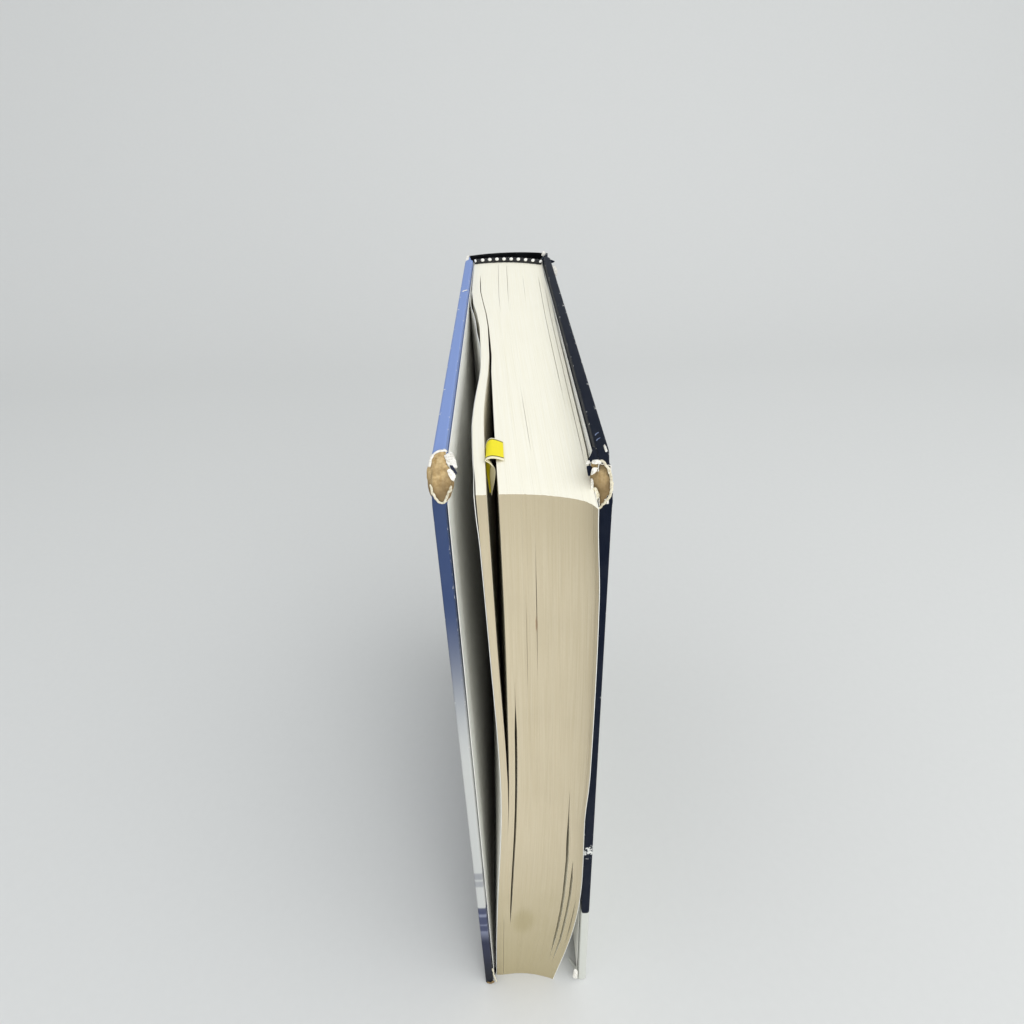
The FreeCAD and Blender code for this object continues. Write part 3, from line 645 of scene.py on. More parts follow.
def swollen(y, z, side):
    """How far a board's inner face bulges at its knocked corner, in mm."""
    far = math.hypot(y - FORE_Y - 0.5, TALL - z - 3.0)
    return SWOLLEN[side] * (1 - smooth(far, 1.0, 8.0))


def pinched(y, z, side):
    """How far a board's outside is knocked in at its corner, in mm."""
    return PINCHED[side] * (1 - smooth(math.hypot(y - FORE_Y, TALL - z), 1.0, 10.0))


def along_line(stations, share):
    """A place on a smooth line through stations, at a share of the way."""
    far = min(max(share, 0.0), 1.0) * (len(stations) - 1)
    k = min(int(far), len(stations) - 2)
    t = far - k
    before, after = stations[max(k - 1, 0)], stations[min(k + 2, len(stations) - 1)]
    a, b = Vector(stations[k]), Vector(stations[k + 1])
    one, two = (b - Vector(before)) / 2, (Vector(after) - a) / 2
    return ((1 + 2 * t) * (1 - t) ** 2 * a + t * (1 - t) ** 2 * one
            + t * t * (3 - 2 * t) * b - t * t * (1 - t) * two)


# ------------------------------------------------------------ settings
class TextbookCoverSettings(bpy.types.PropertyGroup):
    """Colours printed on the case, the deeper fore-edge blue partly painted shade."""
    front_blue: FloatVectorProperty(
        name="Front blue", description="Field at the head of the front cover",
        subtype="COLOR", size=3, min=0, max=1, default=linear("7F95C9"))
    # deeper blue at the front fore-edge: partly print, partly painted shade of the fore-edge face
    front_dusk_and_shade: FloatVectorProperty(
        name="Front dusk", description="Deeper blue towards the front cover's fore-edge",
        subtype="COLOR", size=3, min=0, max=1, default=linear("3A496C"))
    front_pale: FloatVectorProperty(
        name="Front pale", description="Field at the middle of the front cover",
        subtype="COLOR", size=3, min=0, max=1, default=linear("BDBFBC"))
    front_band: FloatVectorProperty(
        name="Front band", description="Thin bands above the front cover's foot",
        subtype="COLOR", size=3, min=0, max=1, default=linear("3A3F5B"))
    front_haze: FloatVectorProperty(
        name="Front haze", description="Greyed field behind the front cover's low bands",
        subtype="COLOR", size=3, min=0, max=1, default=linear("7C8195"))
    front_foot: FloatVectorProperty(
        name="Front foot", description="Field at the foot of the front cover",
        subtype="COLOR", size=3, min=0, max=1, default=linear("2C3044"))
    navy: FloatVectorProperty(
        name="Navy", description="Spine and back cover",
        subtype="COLOR", size=3, min=0, max=1, default=linear("0A1222"))
    back_foot: FloatVectorProperty(
        name="Back foot", description="Band at the foot of spine and back cover",
        subtype="COLOR", size=3, min=0, max=1, default=linear("C8CAC2"))


class TextbookLeafSettings(bpy.types.PropertyGroup):
    """Paper and make-up of the page block."""
    clumps: IntProperty(
        name="Clumps", description="Gatherings of leaves that show as one",
        default=34, min=8, max=90)
    uneven: FloatProperty(
        name="Uneven", description="How far a gathering's edges stand in or out",
        default=0.05 * MM, min=0, max=1 * MM, unit="LENGTH")
    head: FloatVectorProperty(
        name="Head", description="Cut leaves at head and tail",
        subtype="COLOR", size=3, min=0, max=1, default=linear("F4F1E2"))
    fore: FloatVectorProperty(
        name="Fore-edge", description="Cut leaves at the handled fore-edge",
        subtype="COLOR", size=3, min=0, max=1, default=linear("C6BBA1"))
    yellow: FloatVectorProperty(
        name="Slip yellow", description="Field printed on the paper slip",
        subtype="COLOR", size=3, min=0, max=1, default=linear("EADB14"))


class TextbookStageSettings(bpy.types.PropertyGroup):
    """Floor and light."""
    floor: FloatVectorProperty(
        name="Floor", description="Plain pale floor",
        subtype="COLOR", size=3, min=0, max=1, default=linear("D9DAD8"))
    key: FloatProperty(
        name="Key light", description="Power of the soft light overhead",
        default=6.2, min=0, soft_max=50, unit="POWER")
    fill: FloatProperty(
        name="Fill", description="Strength of the even light all round",
        default=0.8, min=0, soft_max=2)


# ------------------------------------------------------------ case
LIFTED = 2.0        # mm from a tear over which the paper lifts
WOOLLY = 15.0       # mm along head and fore-edge of a board's corner that is swollen and woolly
WOOL = 0.3          # mm, the finest lump of its wool


def case_paper(side, settings, core):
    """Half of the printed case: spine, groove, cover and turn-ins in one sheet."""
    seed = 4.0 + side
    inner_edge = TURN_IN + COVER
    # from the tail's turned-in edge round its fold, up the cover, and round the head's fold
    rows = [-inner_edge, -14, -10, -7, -5.5] + steps(-4.5, 0.7, 20)
    rows += [2, 4, 8, 16, 30, 60, 100, 140, 180, 215, 236] + steps(242, TALL - 0.7, 36)
    rows += steps(TALL - 0.45, TALL + 4.5, 19) + steps(TALL + 5, TALL + inner_edge, 26)

    def lie(i, v):
        """Place in the closed case, depth below its outside, and the thickness wrapped there."""
        thick = case_thick(RAIL_LENGTHS[i])
        depth, z = 0.0, v
        if v < FOLD:
            depth, z = fold_end(FOLD - v, thick)
        elif v > TALL - FOLD:
            depth, z = fold_end(v - TALL + FOLD, thick)
            z = TALL - z
        spot, out = RAIL_PLACES[i], RAIL_NORMALS[i]
        return spot.x - out.x * depth, spot.y - out.y * depth, z, depth, thick

    def inside_of(x):
        """0 on a board's outer face and 1 on its inner one."""
        return min(max((HALF - x) / COVER, 0.0), 1.0)

    def place(i, v):
        x, y, z, depth, _ = lie(i, v)
        inside = inside_of(x)
        reach = corner_reach(y, z, side, inside)
        if y < CORNER_END_Y:
            x -= swollen(y, z, side) * inside + pinched(y, z, side) * (1 - inside)
            if reach < LIFTED:
                lift = (1 - max(reach, 0) / LIFTED) ** 2
                lift *= 0.22 + 0.2 * fibre(y, z, depth, 1.7, seed)
                x += lift * (1 - 2 * inside)
                y -= 0.7 * lift
                z += 0.7 * lift
        opened = 1 - smooth(RAIL_PLACES[i].y, JOINT_Y, SHOULDER_Y)
        return in_case(x, y, z, side, opened)

    def drop(u, v):
        """Whether the sheet is cut at its corners, mitred in its turn-ins, or torn away here."""
        x, y, z, depth, thick = lie(int(u), v)
        far = RAIL_LENGTHS[int(u)]
        past_fore = far > FOLD_AT + 0.3
        past_end = v < 0.2 or v > TALL - 0.2
        if past_fore and past_end:
            return True
        from_end = min(z, TALL - z)
        if far > INNER_AT and from_end < y - FORE_Y - 0.4:
            return True
        if depth > thick - 0.02 and not past_fore and y - FORE_Y < from_end - 0.4:
            return True
        return y < CORNER_END_Y and corner_reach(y, z, side, inside_of(x)) < 0

    def flat(i, v):
        return RAIL_LENGTHS[int(i)], v

    def dress(u, v):
        x, y, z, _, _ = lie(int(u), v)
        margin = 0.12 + 0.36 * fibre(y, z, 0, 1.6, seed + 3)
        return int(y < CORNER_END_Y and corner_reach(y, z, side, inside_of(x)) < margin)

    bm = grid(list(range(len(RAIL_PLACES))), rows, place, flat, drop, dress)
    rim = {v for v in bm.verts if v.is_boundary and v.co.z > 0.24 and v.co.y < (BACK_Y - 190) * MM}
    for _ in range(2):
        bmesh.ops.smooth_vert(bm, verts=list(rim), factor=0.4,
                              use_axis_x=True, use_axis_y=True, use_axis_z=True)
    if side == BACK:
        bmesh.ops.reverse_faces(bm, faces=bm.faces)
    name = WORD[side] + "_printed_case"
    thing = new_object(name, bm, [printed_case(settings, side), core], closed=False)
    thicken(thing, PAPER, rim=1)
    shade_smooth(thing, 50)
    cover = WORD[side] + "_cover"
    start = in_case(HALF, SHOULDER_Y, TALL / 2, side, 0)
    end = in_case(HALF, JOINT_Y + 1.4, TALL / 2, side, 0)
    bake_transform(thing)
    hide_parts(cover + "_paper", "spine_cover")


def worn_board(side, material):
    """Greyboard slab, its knocked corner rounded, swollen and woolly."""
    word = WORD[side]
    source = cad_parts[word + "_board"]
    corner = in_case(HALF - COVER / 2, FORE_Y, TALL, side)
    cut = corner + Vector((0, WOOLLY * MM, -WOOLLY * MM)) / 2
    across = Vector((0, 1, -1)).normalized()

    def part(clear_outer):
        """The board on one side of the cut across its corner."""
        bm = bmesh.new()
        bm.from_mesh(source.data)
        bmesh.ops.remove_doubles(bm, verts=bm.verts, dist=0.001 * MM)
        geometry = bm.verts[:] + bm.edges[:] + bm.faces[:]
        made = bmesh.ops.bisect_plane(bm, geom=geometry, dist=1e-7, plane_co=cut, plane_no=across,
                                      clear_outer=clear_outer, clear_inner=not clear_outer)
        rim = [g for g in made["geom_cut"] if isinstance(g, bmesh.types.BMEdge)]
        bmesh.ops.edgeloop_fill(bm, edges=rim)
        return bm

    bm = part(True)
    near = 1 * MM
    knocked = [e for e in bm.edges if all(v.co.z > corner.z - near and v.co.y < corner.y + near
                                          for v in e.verts)]
    bmesh.ops.bevel(bm, geom=knocked, offset=1.2 * MM, offset_type="OFFSET", affect="EDGES",
                    segments=5, profile=0.5, material=-1)
    lump = new_object(word + "_board_corner", bm, [material])
    remesh = lump.modifiers.new("Even", "REMESH")
    remesh.mode = "VOXEL"
    remesh.voxel_size = WOOL * MM
    settle(lump)
    bm = bmesh.new()
    bm.from_mesh(lump.data)
    bm.normal_update()
    seed = 20.0 + side
    toe = math.radians(TOE_OUT[side]) * (HINGE[1] - FORE_Y)
    for vert in bm.verts:
        x, y, z = vert.co / MM
        depth, high = y - BACK_Y + SPINE_Y, z
        inside = min(max((HALF + toe - side * (x - MIDDLE_X)) / COVER, 0.0), 1.0)
        bare = 1 - smooth(corner_reach(depth, high, side, inside), -0.5, 1.1)
        rough = 0.50 + 0.26 * fibre(x, y, z, 2.4, seed) + 0.12 * fibre(x, y, z, 0.9, seed)
        vert.co += vert.normal * (rough * bare + 0.06) * MM
        shift = swollen(depth, high, side) * inside + pinched(depth, high, side) * (1 - inside)
        vert.co.x -= side * shift * MM
    bmesh.ops.smooth_vert(bm, verts=bm.verts, factor=0.5,
                          use_axis_x=True, use_axis_y=True, use_axis_z=True)
    slab = part(False)
    slab_mesh = bpy.data.meshes.new("slab")
    slab.to_mesh(slab_mesh)
    slab.free()
    bm.from_mesh(slab_mesh)
    bpy.data.objects.remove(lump)
    thing = new_object(word + "_greyboard", bm, [material], closed=False)
    shade_smooth(thing, 40)
    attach(thing, word + "_cover")
    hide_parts(word + "_board")


def scrap(name, corners, body, materials, bulge, ragged, seed, flat=(60.0, 120.0)):
    """A scrap of torn paper spanned between four places of the case: it bulges by bulge mm,
    its outline is ragged by a share of its size, and flat is where it lies on the print."""
    a, b, c, d = (in_case(*corner, BACK, 0) for corner in corners)
    out = (b - a + c - d).cross(d - a + c - b).normalized()

    def place(u, v):
        du, dv = 2 * u - 1, 2 * v - 1
        edge = max(abs(du), abs(dv))
        angle = math.atan2(dv, du)
        torn = fibre(angle * 2, seed, 0, 1.0) + 0.6 * fibre(angle * 7, seed, 5, 1.0)
        keep = 1 - ragged * edge * (0.7 + torn) - 0.16 * (du * dv) ** 2
        u, v = 0.5 + du * keep / 2, 0.5 + dv * keep / 2
        spot = a * (1 - u) * (1 - v) + b * u * (1 - v) + c * u * v + d * (1 - u) * v
        raised = bulge * (1 - du * du) * (1 - dv * dv) + 0.12 * fibre(u * 3, v * 3, seed, 1.0)
        return spot + out * raised * MM

    cells = steps(0, 1, 14)
    bm = grid(cells, cells, place, lambda u, v: (flat[0] + 3 * u, flat[1] + 3 * v))
    torn_piece(name, bm, body, materials)


def torn_rim(name, stations, facing, wide, body, material, seed):
    """The raised felted rim that a tear leaves, along a line through places of the case."""
    facing = Vector(facing).normalized()

    def place(u, v):
        spot = along_line(stations, u)
        way = along_line(stations, u + 0.02) - along_line(stations, u - 0.02)
        across = way.cross(facing).normalized()
        taper = 0.35 + 0.65 * smooth(u, 0.0, 0.1) * (1 - smooth(u, 0.9, 1.0))
        breadth = wide * taper * (0.9 + 0.55 * fibre(*spot, 1.1, seed))
        shift = 0.22 * fibre(*spot, 0.8, seed + 3)
        raised = 0.2 * (1 - 4 * v * v) + 0.1 * shift
        spot = spot + across * (v * breadth + shift) + facing * raised
        return in_case(*spot, BACK, 0)

    count = 12 * (len(stations) - 1)
    bm = grid(steps(0, 1, count), steps(-0.5, 0.5, 5), place, lambda u, v: (60 + 9 * u, 120 + v))
    torn_piece(name, bm, body, [material])


def torn_piece(name, bm, body, materials):
    """Finish a piece of torn paper, its rim and back in the last of its materials."""
    thing = new_object(name, bm, materials, closed=False)
    thicken(thing, 0.22, rim=len(materials) - 1, behind=len(materials) - 1)
    shade_smooth(thing, 60)
    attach(thing, body)


def tears(core, aged, front_print, back_print):
    """Rims, flaps and curls of torn paper at the knocked corners and the spine's shoulders."""
    up = (0, -0.75, 0.65)
    fore = (0, -1, 0.15)
    # front head corner
    torn_rim("front_tear_head", ((-22.0, -101.3, 259.6), (-21.8, -98.7, 260.1), (-21.3, -96.5, 260.3),
                                 (-20.4, -95.1, 260.3), (-19.2, -94.6, 260.3), (-17.9, -95.0, 260.2)),
             (0, -0.2, 1), 0.6, "front_cover", core, 1.0)
    torn_rim("front_tear_fore", ((-21.7, -105.3, 257.2), (-21.3, -105.5, 254.8), (-20.5, -105.6, 253.1),
                                 (-19.5, -105.6, 252.1), (-18.5, -105.6, 252.6), (-17.9, -105.6, 253.9),
                                 (-17.2, -105.6, 255.2), (-16.7, -105.5, 256.8)),
             fore, 0.42, "front_cover", aged, 2.0)
    scrap("front_flap_upper", ((-18.9, -96.8, 260.4), (-17.4, -102.0, 259.9), (-14.8, -101.2, 258.5),
                               (-16.6, -94.4, 260.4)), "front_cover", [core], 0.25, 0.14, 3.0)
    scrap("front_flap_shade", ((-17.3, -101.4, 260.0), (-15.8, -102.9, 257.9), (-15.1, -102.4, 258.2),
                               (-16.4, -101.0, 260.0)), "front_cover", [front_print], 0.1, 0.1, 4.0,
          flat=(60, 20))
    scrap("front_flap_lower", ((-17.9, -103.4, 260.0), (-16.3, -104.7, 256.7), (-15.3, -103.7, 258.2),
                               (-16.6, -102.7, 260.1)), "front_cover", [core], 0.2, 0.14, 5.0)
    # back head corner
    torn_rim("back_tear_ring", ((18.2, -102.7, 260.4), (19.1, -103.0, 260.5), (19.9, -104.2, 260.3),
                                (20.7, -105.2, 259.2), (21.2, -105.6, 257.5), (21.5, -105.6, 255.4),
                                (21.4, -105.6, 253.4), (20.9, -105.6, 251.7), (20.1, -105.6, 250.4),
                                (19.2, -105.6, 249.3), (18.3, -105.5, 248.6)),
             up, 0.5, "back_cover", aged, 7.0)
    scrap("back_turn_in_flare", ((18.5, -93.5, 260.1), (17.4, -98.0, 260.0), (15.7, -102.6, 260.0),
                                 (18.9, -102.9, 260.3)),
          "back_cover", [back_print, core], 0.1, 0.05, 8.0)
    scrap("back_turn_in_shade", ((15.3, -104.5, 260.3), (15.9, -104.8, 257.2), (16.4, -104.8, 257.6),
                                 (17.0, -104.3, 260.1)), "back_cover", [back_print], 0.1, 0.08, 9.0)
    scrap("back_leaf", ((15.2, -104.3, 260.5), (16.3, -104.3, 260.4), (16.5, -102.6, 260.6),
                        (15.7, -102.6, 260.6)), "back_cover", [core], 0.1, 0.16, 10.0)
    scrap("back_band", ((16.5, -103.9, 260.2), (19.3, -104.3, 260.3), (19.2, -102.6, 260.6),
                        (17.0, -102.2, 260.6)), "back_cover", [core], 0.2, 0.14, 11.0)
    scrap("back_flap_side", ((16.4, -105.2, 257.4), (17.1, -105.5, 257.2), (17.3, -105.6, 253.6),
                             (16.6, -105.4, 253.4)), "back_cover", [core], 0.2, 0.16, 24.0)
    scrap("back_blob", ((16.2, -105.5, 257.8), (17.5, -105.8, 258.8), (18.3, -105.5, 260.3),
                        (16.6, -105.3, 260.3)), "back_cover", [core], 0.35, 0.16, 12.0)
    scrap("back_flap_lower", ((16.8, -105.5, 255.2), (17.6, -105.6, 249.6), (19.0, -105.7, 252.3),
                              (17.9, -105.7, 255.0)), "back_cover", [aged], 0.3, 0.16, 13.0)
    scrap("back_head_chip", ((20.7, -98.3, 260.1), (21.5, -97.9, 260.1), (21.3, -93.9, 260.1),
                             (20.7, -94.2, 260.1)), "back_cover", [core], 0.1, 0.16, 14.0)
    film = bpy.data.materials["scratched_film"]
    for k, (x0, y0, x1, y1) in enumerate(((19.3, -88.9, 20.4, -87.4), (19.4, -91.9, 20.5, -90.4))):
        line = ((x0, y0, 259.9), ((x0 + x1) / 2, (y0 + y1) / 2 + 0.3, 259.9), (x1, y1, 259.9))
        torn_rim("back_head_scratch_%d" % k, line, (0, 0, 1), 0.12, "back_cover", film, k)
    # spine's shoulders at the head
    scrap("front_shoulder_tear", ((-20.2, 94.6, 259.5), (-17.9, 94.4, 258.9), (-18.0, 101.0, 259.9),
                                  (-19.2, 101.3, 260.6)), "book_block", [core], 0.2, 0.14, 15.0)
    torn_rim("front_head_nick", ((-19.4, 41.6, 260.0), (-18.6, 42.6, 260.05), (-17.6, 43.6, 260.0)),
             (0, 0, 1), 0.35, "front_cover", core, 16.0)
    slate = bpy.data.materials["slate_reverse"]
    scrap("back_shoulder_flap", ((15.8, 98.0, 259.0), (18.9, 96.6, 259.1), (20.3, 92.0, 256.2),
                                 (16.9, 94.0, 256.4)), "book_block", [slate], 0.3, 0.1, 17.0)
    scrap("back_shoulder_tip", ((15.9, 99.6, 258.8), (18.9, 99.6, 258.7), (17.9, 100.0, 261.1),
                                (16.9, 100.1, 261.2)), "book_block", [core], 0.2, 0.1, 18.0)
    scrap("back_shoulder_point", ((18.0, 95.4, 256.0), (21.6, 95.0, 256.6), (22.9, 94.5, 257.6),
                                  (18.1, 95.6, 259.0)),
          "book_block", [back_print, core], 0.3, 0.1, 19.0)
    scrap("back_shoulder_curl", ((19.4, 87.6, 251.6), (22.9, 86.0, 252.6), (23.2, 87.0, 256.9),
                                 (19.4, 88.2, 258.3)),
          "back_cover", [core, back_print], 0.5, 0.14, 20.0)
    # foot corners
    torn_rim("front_foot_split", ((-18.3, -105.4, 14.0), (-18.0, -105.5, 8.0), (-17.4, -105.5, 4.0),
                                  (-17.1, -105.4, 1.4)), fore, 0.45, "front_cover", aged, 21.0)
    torn_rim("front_foot_layers", ((-21.3, -105.5, 1.6), (-19.6, -105.6, 0.9), (-18.2, -105.5, 2.6)),
             fore, 0.9, "front_cover", bpy.data.materials["greyboard_split"], 22.0)
    scrap("back_foot_fray", ((15.9, -105.3, 1.2), (18.6, -105.6, 0.7), (18.6, -105.6, 9.6),
                             (16.8, -105.3, 11.6)), "back_cover", [core], 0.5, 0.18, 23.0)


# ------------------------------------------------------------ leaves
def through(values, z):
    """A smooth line through values given at the six heights."""
    heights = np.array(HEIGHTS)
    values = np.array(values)
    slopes = np.gradient(values, heights)
    k = int(np.clip(np.searchsorted(heights, z) - 1, 0, len(heights) - 2))
    gap = heights[k + 1] - heights[k]
    t = (z - heights[k]) / gap
    return ((1 + 2 * t) * (1 - t) ** 2 * values[k] + t * (1 - t) ** 2 * gap * slopes[k]
            + t * t * (3 - 2 * t) * values[k + 1] + t * t * (t - 1) * gap * slopes[k + 1])


def fore_y(part, f, z):
    """Fore-edge of a leaf: the block leans back towards its last leaves, most at the head."""
    if part == "loose":
        f = 0.0
    foot = -0.2 - 2.4 * f + 1.3 * 4 * f * (1 - f)
    head = 0.4 - 5.0 * f ** 2 - 2.6 * f ** 14
    return foot + (head - foot) * smooth(z, -20, 240)


def spine_y(share):
    """Spine edge of a leaf at a share of the whole width."""
    low, high = LEAF_DEEP - FRONT_EAR, LEAF_DEEP - BACK_EAR
    chord = math.hypot(2 * BLOCK_HALF, high - low)
    rise_up = SPINE_ROUND - math.sqrt(SPINE_ROUND ** 2 - chord ** 2 / 4)
    return low + (high - low) * share + rise_up * 4 * share * (1 - share)


def share_of(part, f):
    """Share of the whole block's width, for a leaf at share f of its part."""
    loose = LOOSE / (2 * BLOCK_HALF)
    return f * loose if part == "loose" else loose + f * (1 - loose)


# openings between leaves: leaf as a share of the main block, width, then from where to where
# in depth and in height, in mm
CRACKS = (
    (0.092, 0.80, -9, 60, 62, 168),
    (0.805, 1.05, -9, 60, 34, 116),
    (0.868, 0.95, -9, 56, 30, 80),
    (0.955, 0.45, -9, 20, 44, 58),
    (0.372, 0.17, -9, 5, 208, 226),
    (0.252, 0.11, -9, 4, 196, 208),
    (0.285, 0.11, 146, 192, 248, 262),
    (0.420, 0.13, 150, 190, 248, 262),
    (0.665, 0.07, 152, 170, 248, 262),
    (0.410, 0.09, 30, 50, 250, 262),
    (0.905, 0.16, 60, 168, 244, 262),
    (0.962, 0.16, 20, 150, 240, 262),
)
CRACK_FADE = 0.14           # share of the block that gives way round an opening

# rows and columns of a gathering's grid, closest where the leaves bend most
LEAF_HEIGHTS = (0, 6, 14, 24, 34, 45, 58, 70, 82, 96, 110, 125, 140, 154, 166, 178, 190, 202, 214,
                225, 234, 241, 246, 249.5, 252, 253.4, 254)
LEAF_SHARES = (0, 0.006, 0.014, 0.026, 0.045, 0.07, 0.1, 0.14, 0.18, 0.23, 0.29, 0.36, 0.43, 0.5,
               0.57, 0.64, 0.71, 0.78, 0.84, 0.9, 0.95, 0.985, 1.0)
LOOSE_CLUMPS = 4
HEAD_SLOT, FORE_SLOT = 1, 2     # materials of a gathering's cut edges


def crack_shift(f, side, y, z):
    """How far the openings push a leaf across; each one's push dies away over CRACK_FADE."""
    shift = 0.0
    for leaf, width, y0, y1, z0, z1 in CRACKS:
        away = f - leaf + side * 1e-4
        fade = max(0.0, 1 - abs(away) / CRACK_FADE)
        opening = window(y, y0, y1, 12 if y1 < 100 else 9)
        opening *= window(z, z0, z1, 14 if z1 < 250 else 6)
        shift += math.copysign(0.5, away) * width * fade * opening
    return shift


def bow(part, f, y, z):
    """How far the front leaves bow away from the front cover, most at the head, in mm."""
    if part == "loose":
        left = 3.2 * window(y, 84, 115, 45) - 0.4 * window(y, 18, 34, 12)
        shift = left + (2.8 * window(y, 92, 114, 56) - left) * f
    else:
        shift = 2.0 * smooth(y, -10, 104) * (1 - smooth(y, 118, 166)) * max(0.0, 1 - f / 0.4) ** 2
        shift += 0.5 * window(y, 86, 166, 12) * max(0.0, 1 - f / 0.05)
    return shift * smooth(z, 90, 250)


def leaf_x(part, f, y, z, side=0):
    """Across, for a leaf at share f of its part of the block; side is which side of an
    opening the leaf lies on."""
    if part == "loose":
        ends = "loose_left", "loose_right"
        spine = -BLOCK_HALF, LOOSE - BLOCK_HALF
        parts = FRONT_PART_Y, SLIT_Y
    else:
        ends = "main_left", "main_right"
        spine = LOOSE - BLOCK_HALF, BLOCK_HALF
        parts = SLIT_Y, BACK_PART_Y
    left, right = (through(SPREAD[end], z) for end in ends)
    part_y = parts[0] + (parts[1] - parts[0]) * f
    at_spine = spine[0] + (spine[1] - spine[0]) * f
    at_fore = left + (right - left) * f
    fan = min(max((part_y - y) / (part_y - fore_y(part, f, z)), 0.0), 1.1)
    x = at_spine + (at_fore - at_spine) * fan ** 1.12 + bow(part, f, y, z)
    if part == "main":
        x += crack_shift(f, side, y, z)
        past_board = FORE_Y - BLOCK_BASE[1] + z * math.sin(math.radians(SAG)) - y
        x += 0.8 * window(z, 150, 226, 26) * smooth(past_board, 0, 5) * smooth(f, 0.82, 1.0)
        x += 0.55 * window(y, 26, 150, 30) * smooth(z, 170, 244) * smooth(f, 0.9, 1.0)
    return x


def clump(part, near, far, settings, rng):
    """One gathering of leaves: a grid for its near face, extruded to its far face, its edges
    standing a little in or out of the block's."""
    out, up = (rng.uniform(-1, most) * settings.uneven / MM for most in (1, 0.2))
    bm = bmesh.new()
    deep, high = len(LEAF_SHARES) - 1, len(LEAF_HEIGHTS) - 1
    bmesh.ops.create_grid(bm, x_segments=deep, y_segments=high, size=0.5)
    made = bmesh.ops.extrude_face_region(bm, geom=bm.faces[:], use_keep_orig=True)
    far_verts = {g for g in made["geom"] if isinstance(g, bmesh.types.BMVert)}
    uv = bm.loops.layers.uv.new("Flat")
    cells, spots = {}, {}
    for vert in bm.verts:
        i, k = round((vert.co.x + 0.5) * deep), round((vert.co.y + 0.5) * high)
        spots[vert] = i, k
        f, side = (far, -1) if vert in far_verts else (near, 1)
        z = LEAF_HEIGHTS[k] * (1 + up / LEAF_TALL)
        front, back = fore_y(part, f, z) + out, spine_y(share_of(part, f))
        y = front + (back - front) * LEAF_SHARES[i]
        x = leaf_x(part, f, y, LEAF_HEIGHTS[k], side)
        cells[vert] = (share_of(part, f) * 2 * BLOCK_HALF, z - y)
        vert.co = in_block(x, y, z)
    for face in bm.faces:
        for loop in face.loops:
            u, v = cells[loop.vert]
            loop[uv].uv = (u * MM, v * MM)
    bmesh.ops.recalc_face_normals(bm, faces=bm.faces)
    for face in bm.faces:
        if all(spots[v][0] == 0 for v in face.verts):
            face.material_index = FORE_SLOT
        elif any(all(spots[v][1] == end for v in face.verts) for end in (0, high)):
            face.material_index = HEAD_SLOT
    return bm


def page_block(settings):
    """All the leaves: loose front ones, then the rest in gatherings parted by openings."""
    rng = random.Random(12)
    pieces = [("loose", i / LOOSE_CLUMPS, (i + 1) / LOOSE_CLUMPS) for i in range(LOOSE_CLUMPS)]
    marks = {crack[0] for crack in CRACKS}
    cuts = sorted(marks | {round(i / settings.clumps, 4) for i in range(settings.clumps + 1)})
    kept = [c for c in cuts if c in marks or all(abs(c - m) > 0.006 for m in marks)]
    pieces += [("main", a, b) for a, b in zip(kept, kept[1:])]
    joined = bmesh.new()
    for part, near, far in pieces:
        bm = clump(part, near, far, settings, rng)
        mesh = bpy.data.meshes.new("clump")
        bm.to_mesh(mesh)
        bm.free()
        joined.from_mesh(mesh)
        bpy.data.meshes.remove(mesh)
    side = book_paper("book_paper_side", settings.head, linear("E4DECB"), 0.15)
    head = book_paper("book_paper_cut_head", settings.head, linear("F0ECD9"), 0.08)
    fore = book_paper("book_paper_cut_fore_edge", settings.fore, linear("BEB296"), 0.2,
                      handled=True)
    thing = new_object("leaves", joined, [side, head, fore], closed=False)
    shade_smooth(thing, 35)
    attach(thing, "book_block")
    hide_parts("page_block")


# ------------------------------------------------------------ endpapers
FLANGE = 25.0       # mm of the spine's cloth glued to a board
PASTED = 0.18       # thickness of a pastedown
FREE = 0.15         # thickness of a flyleaf


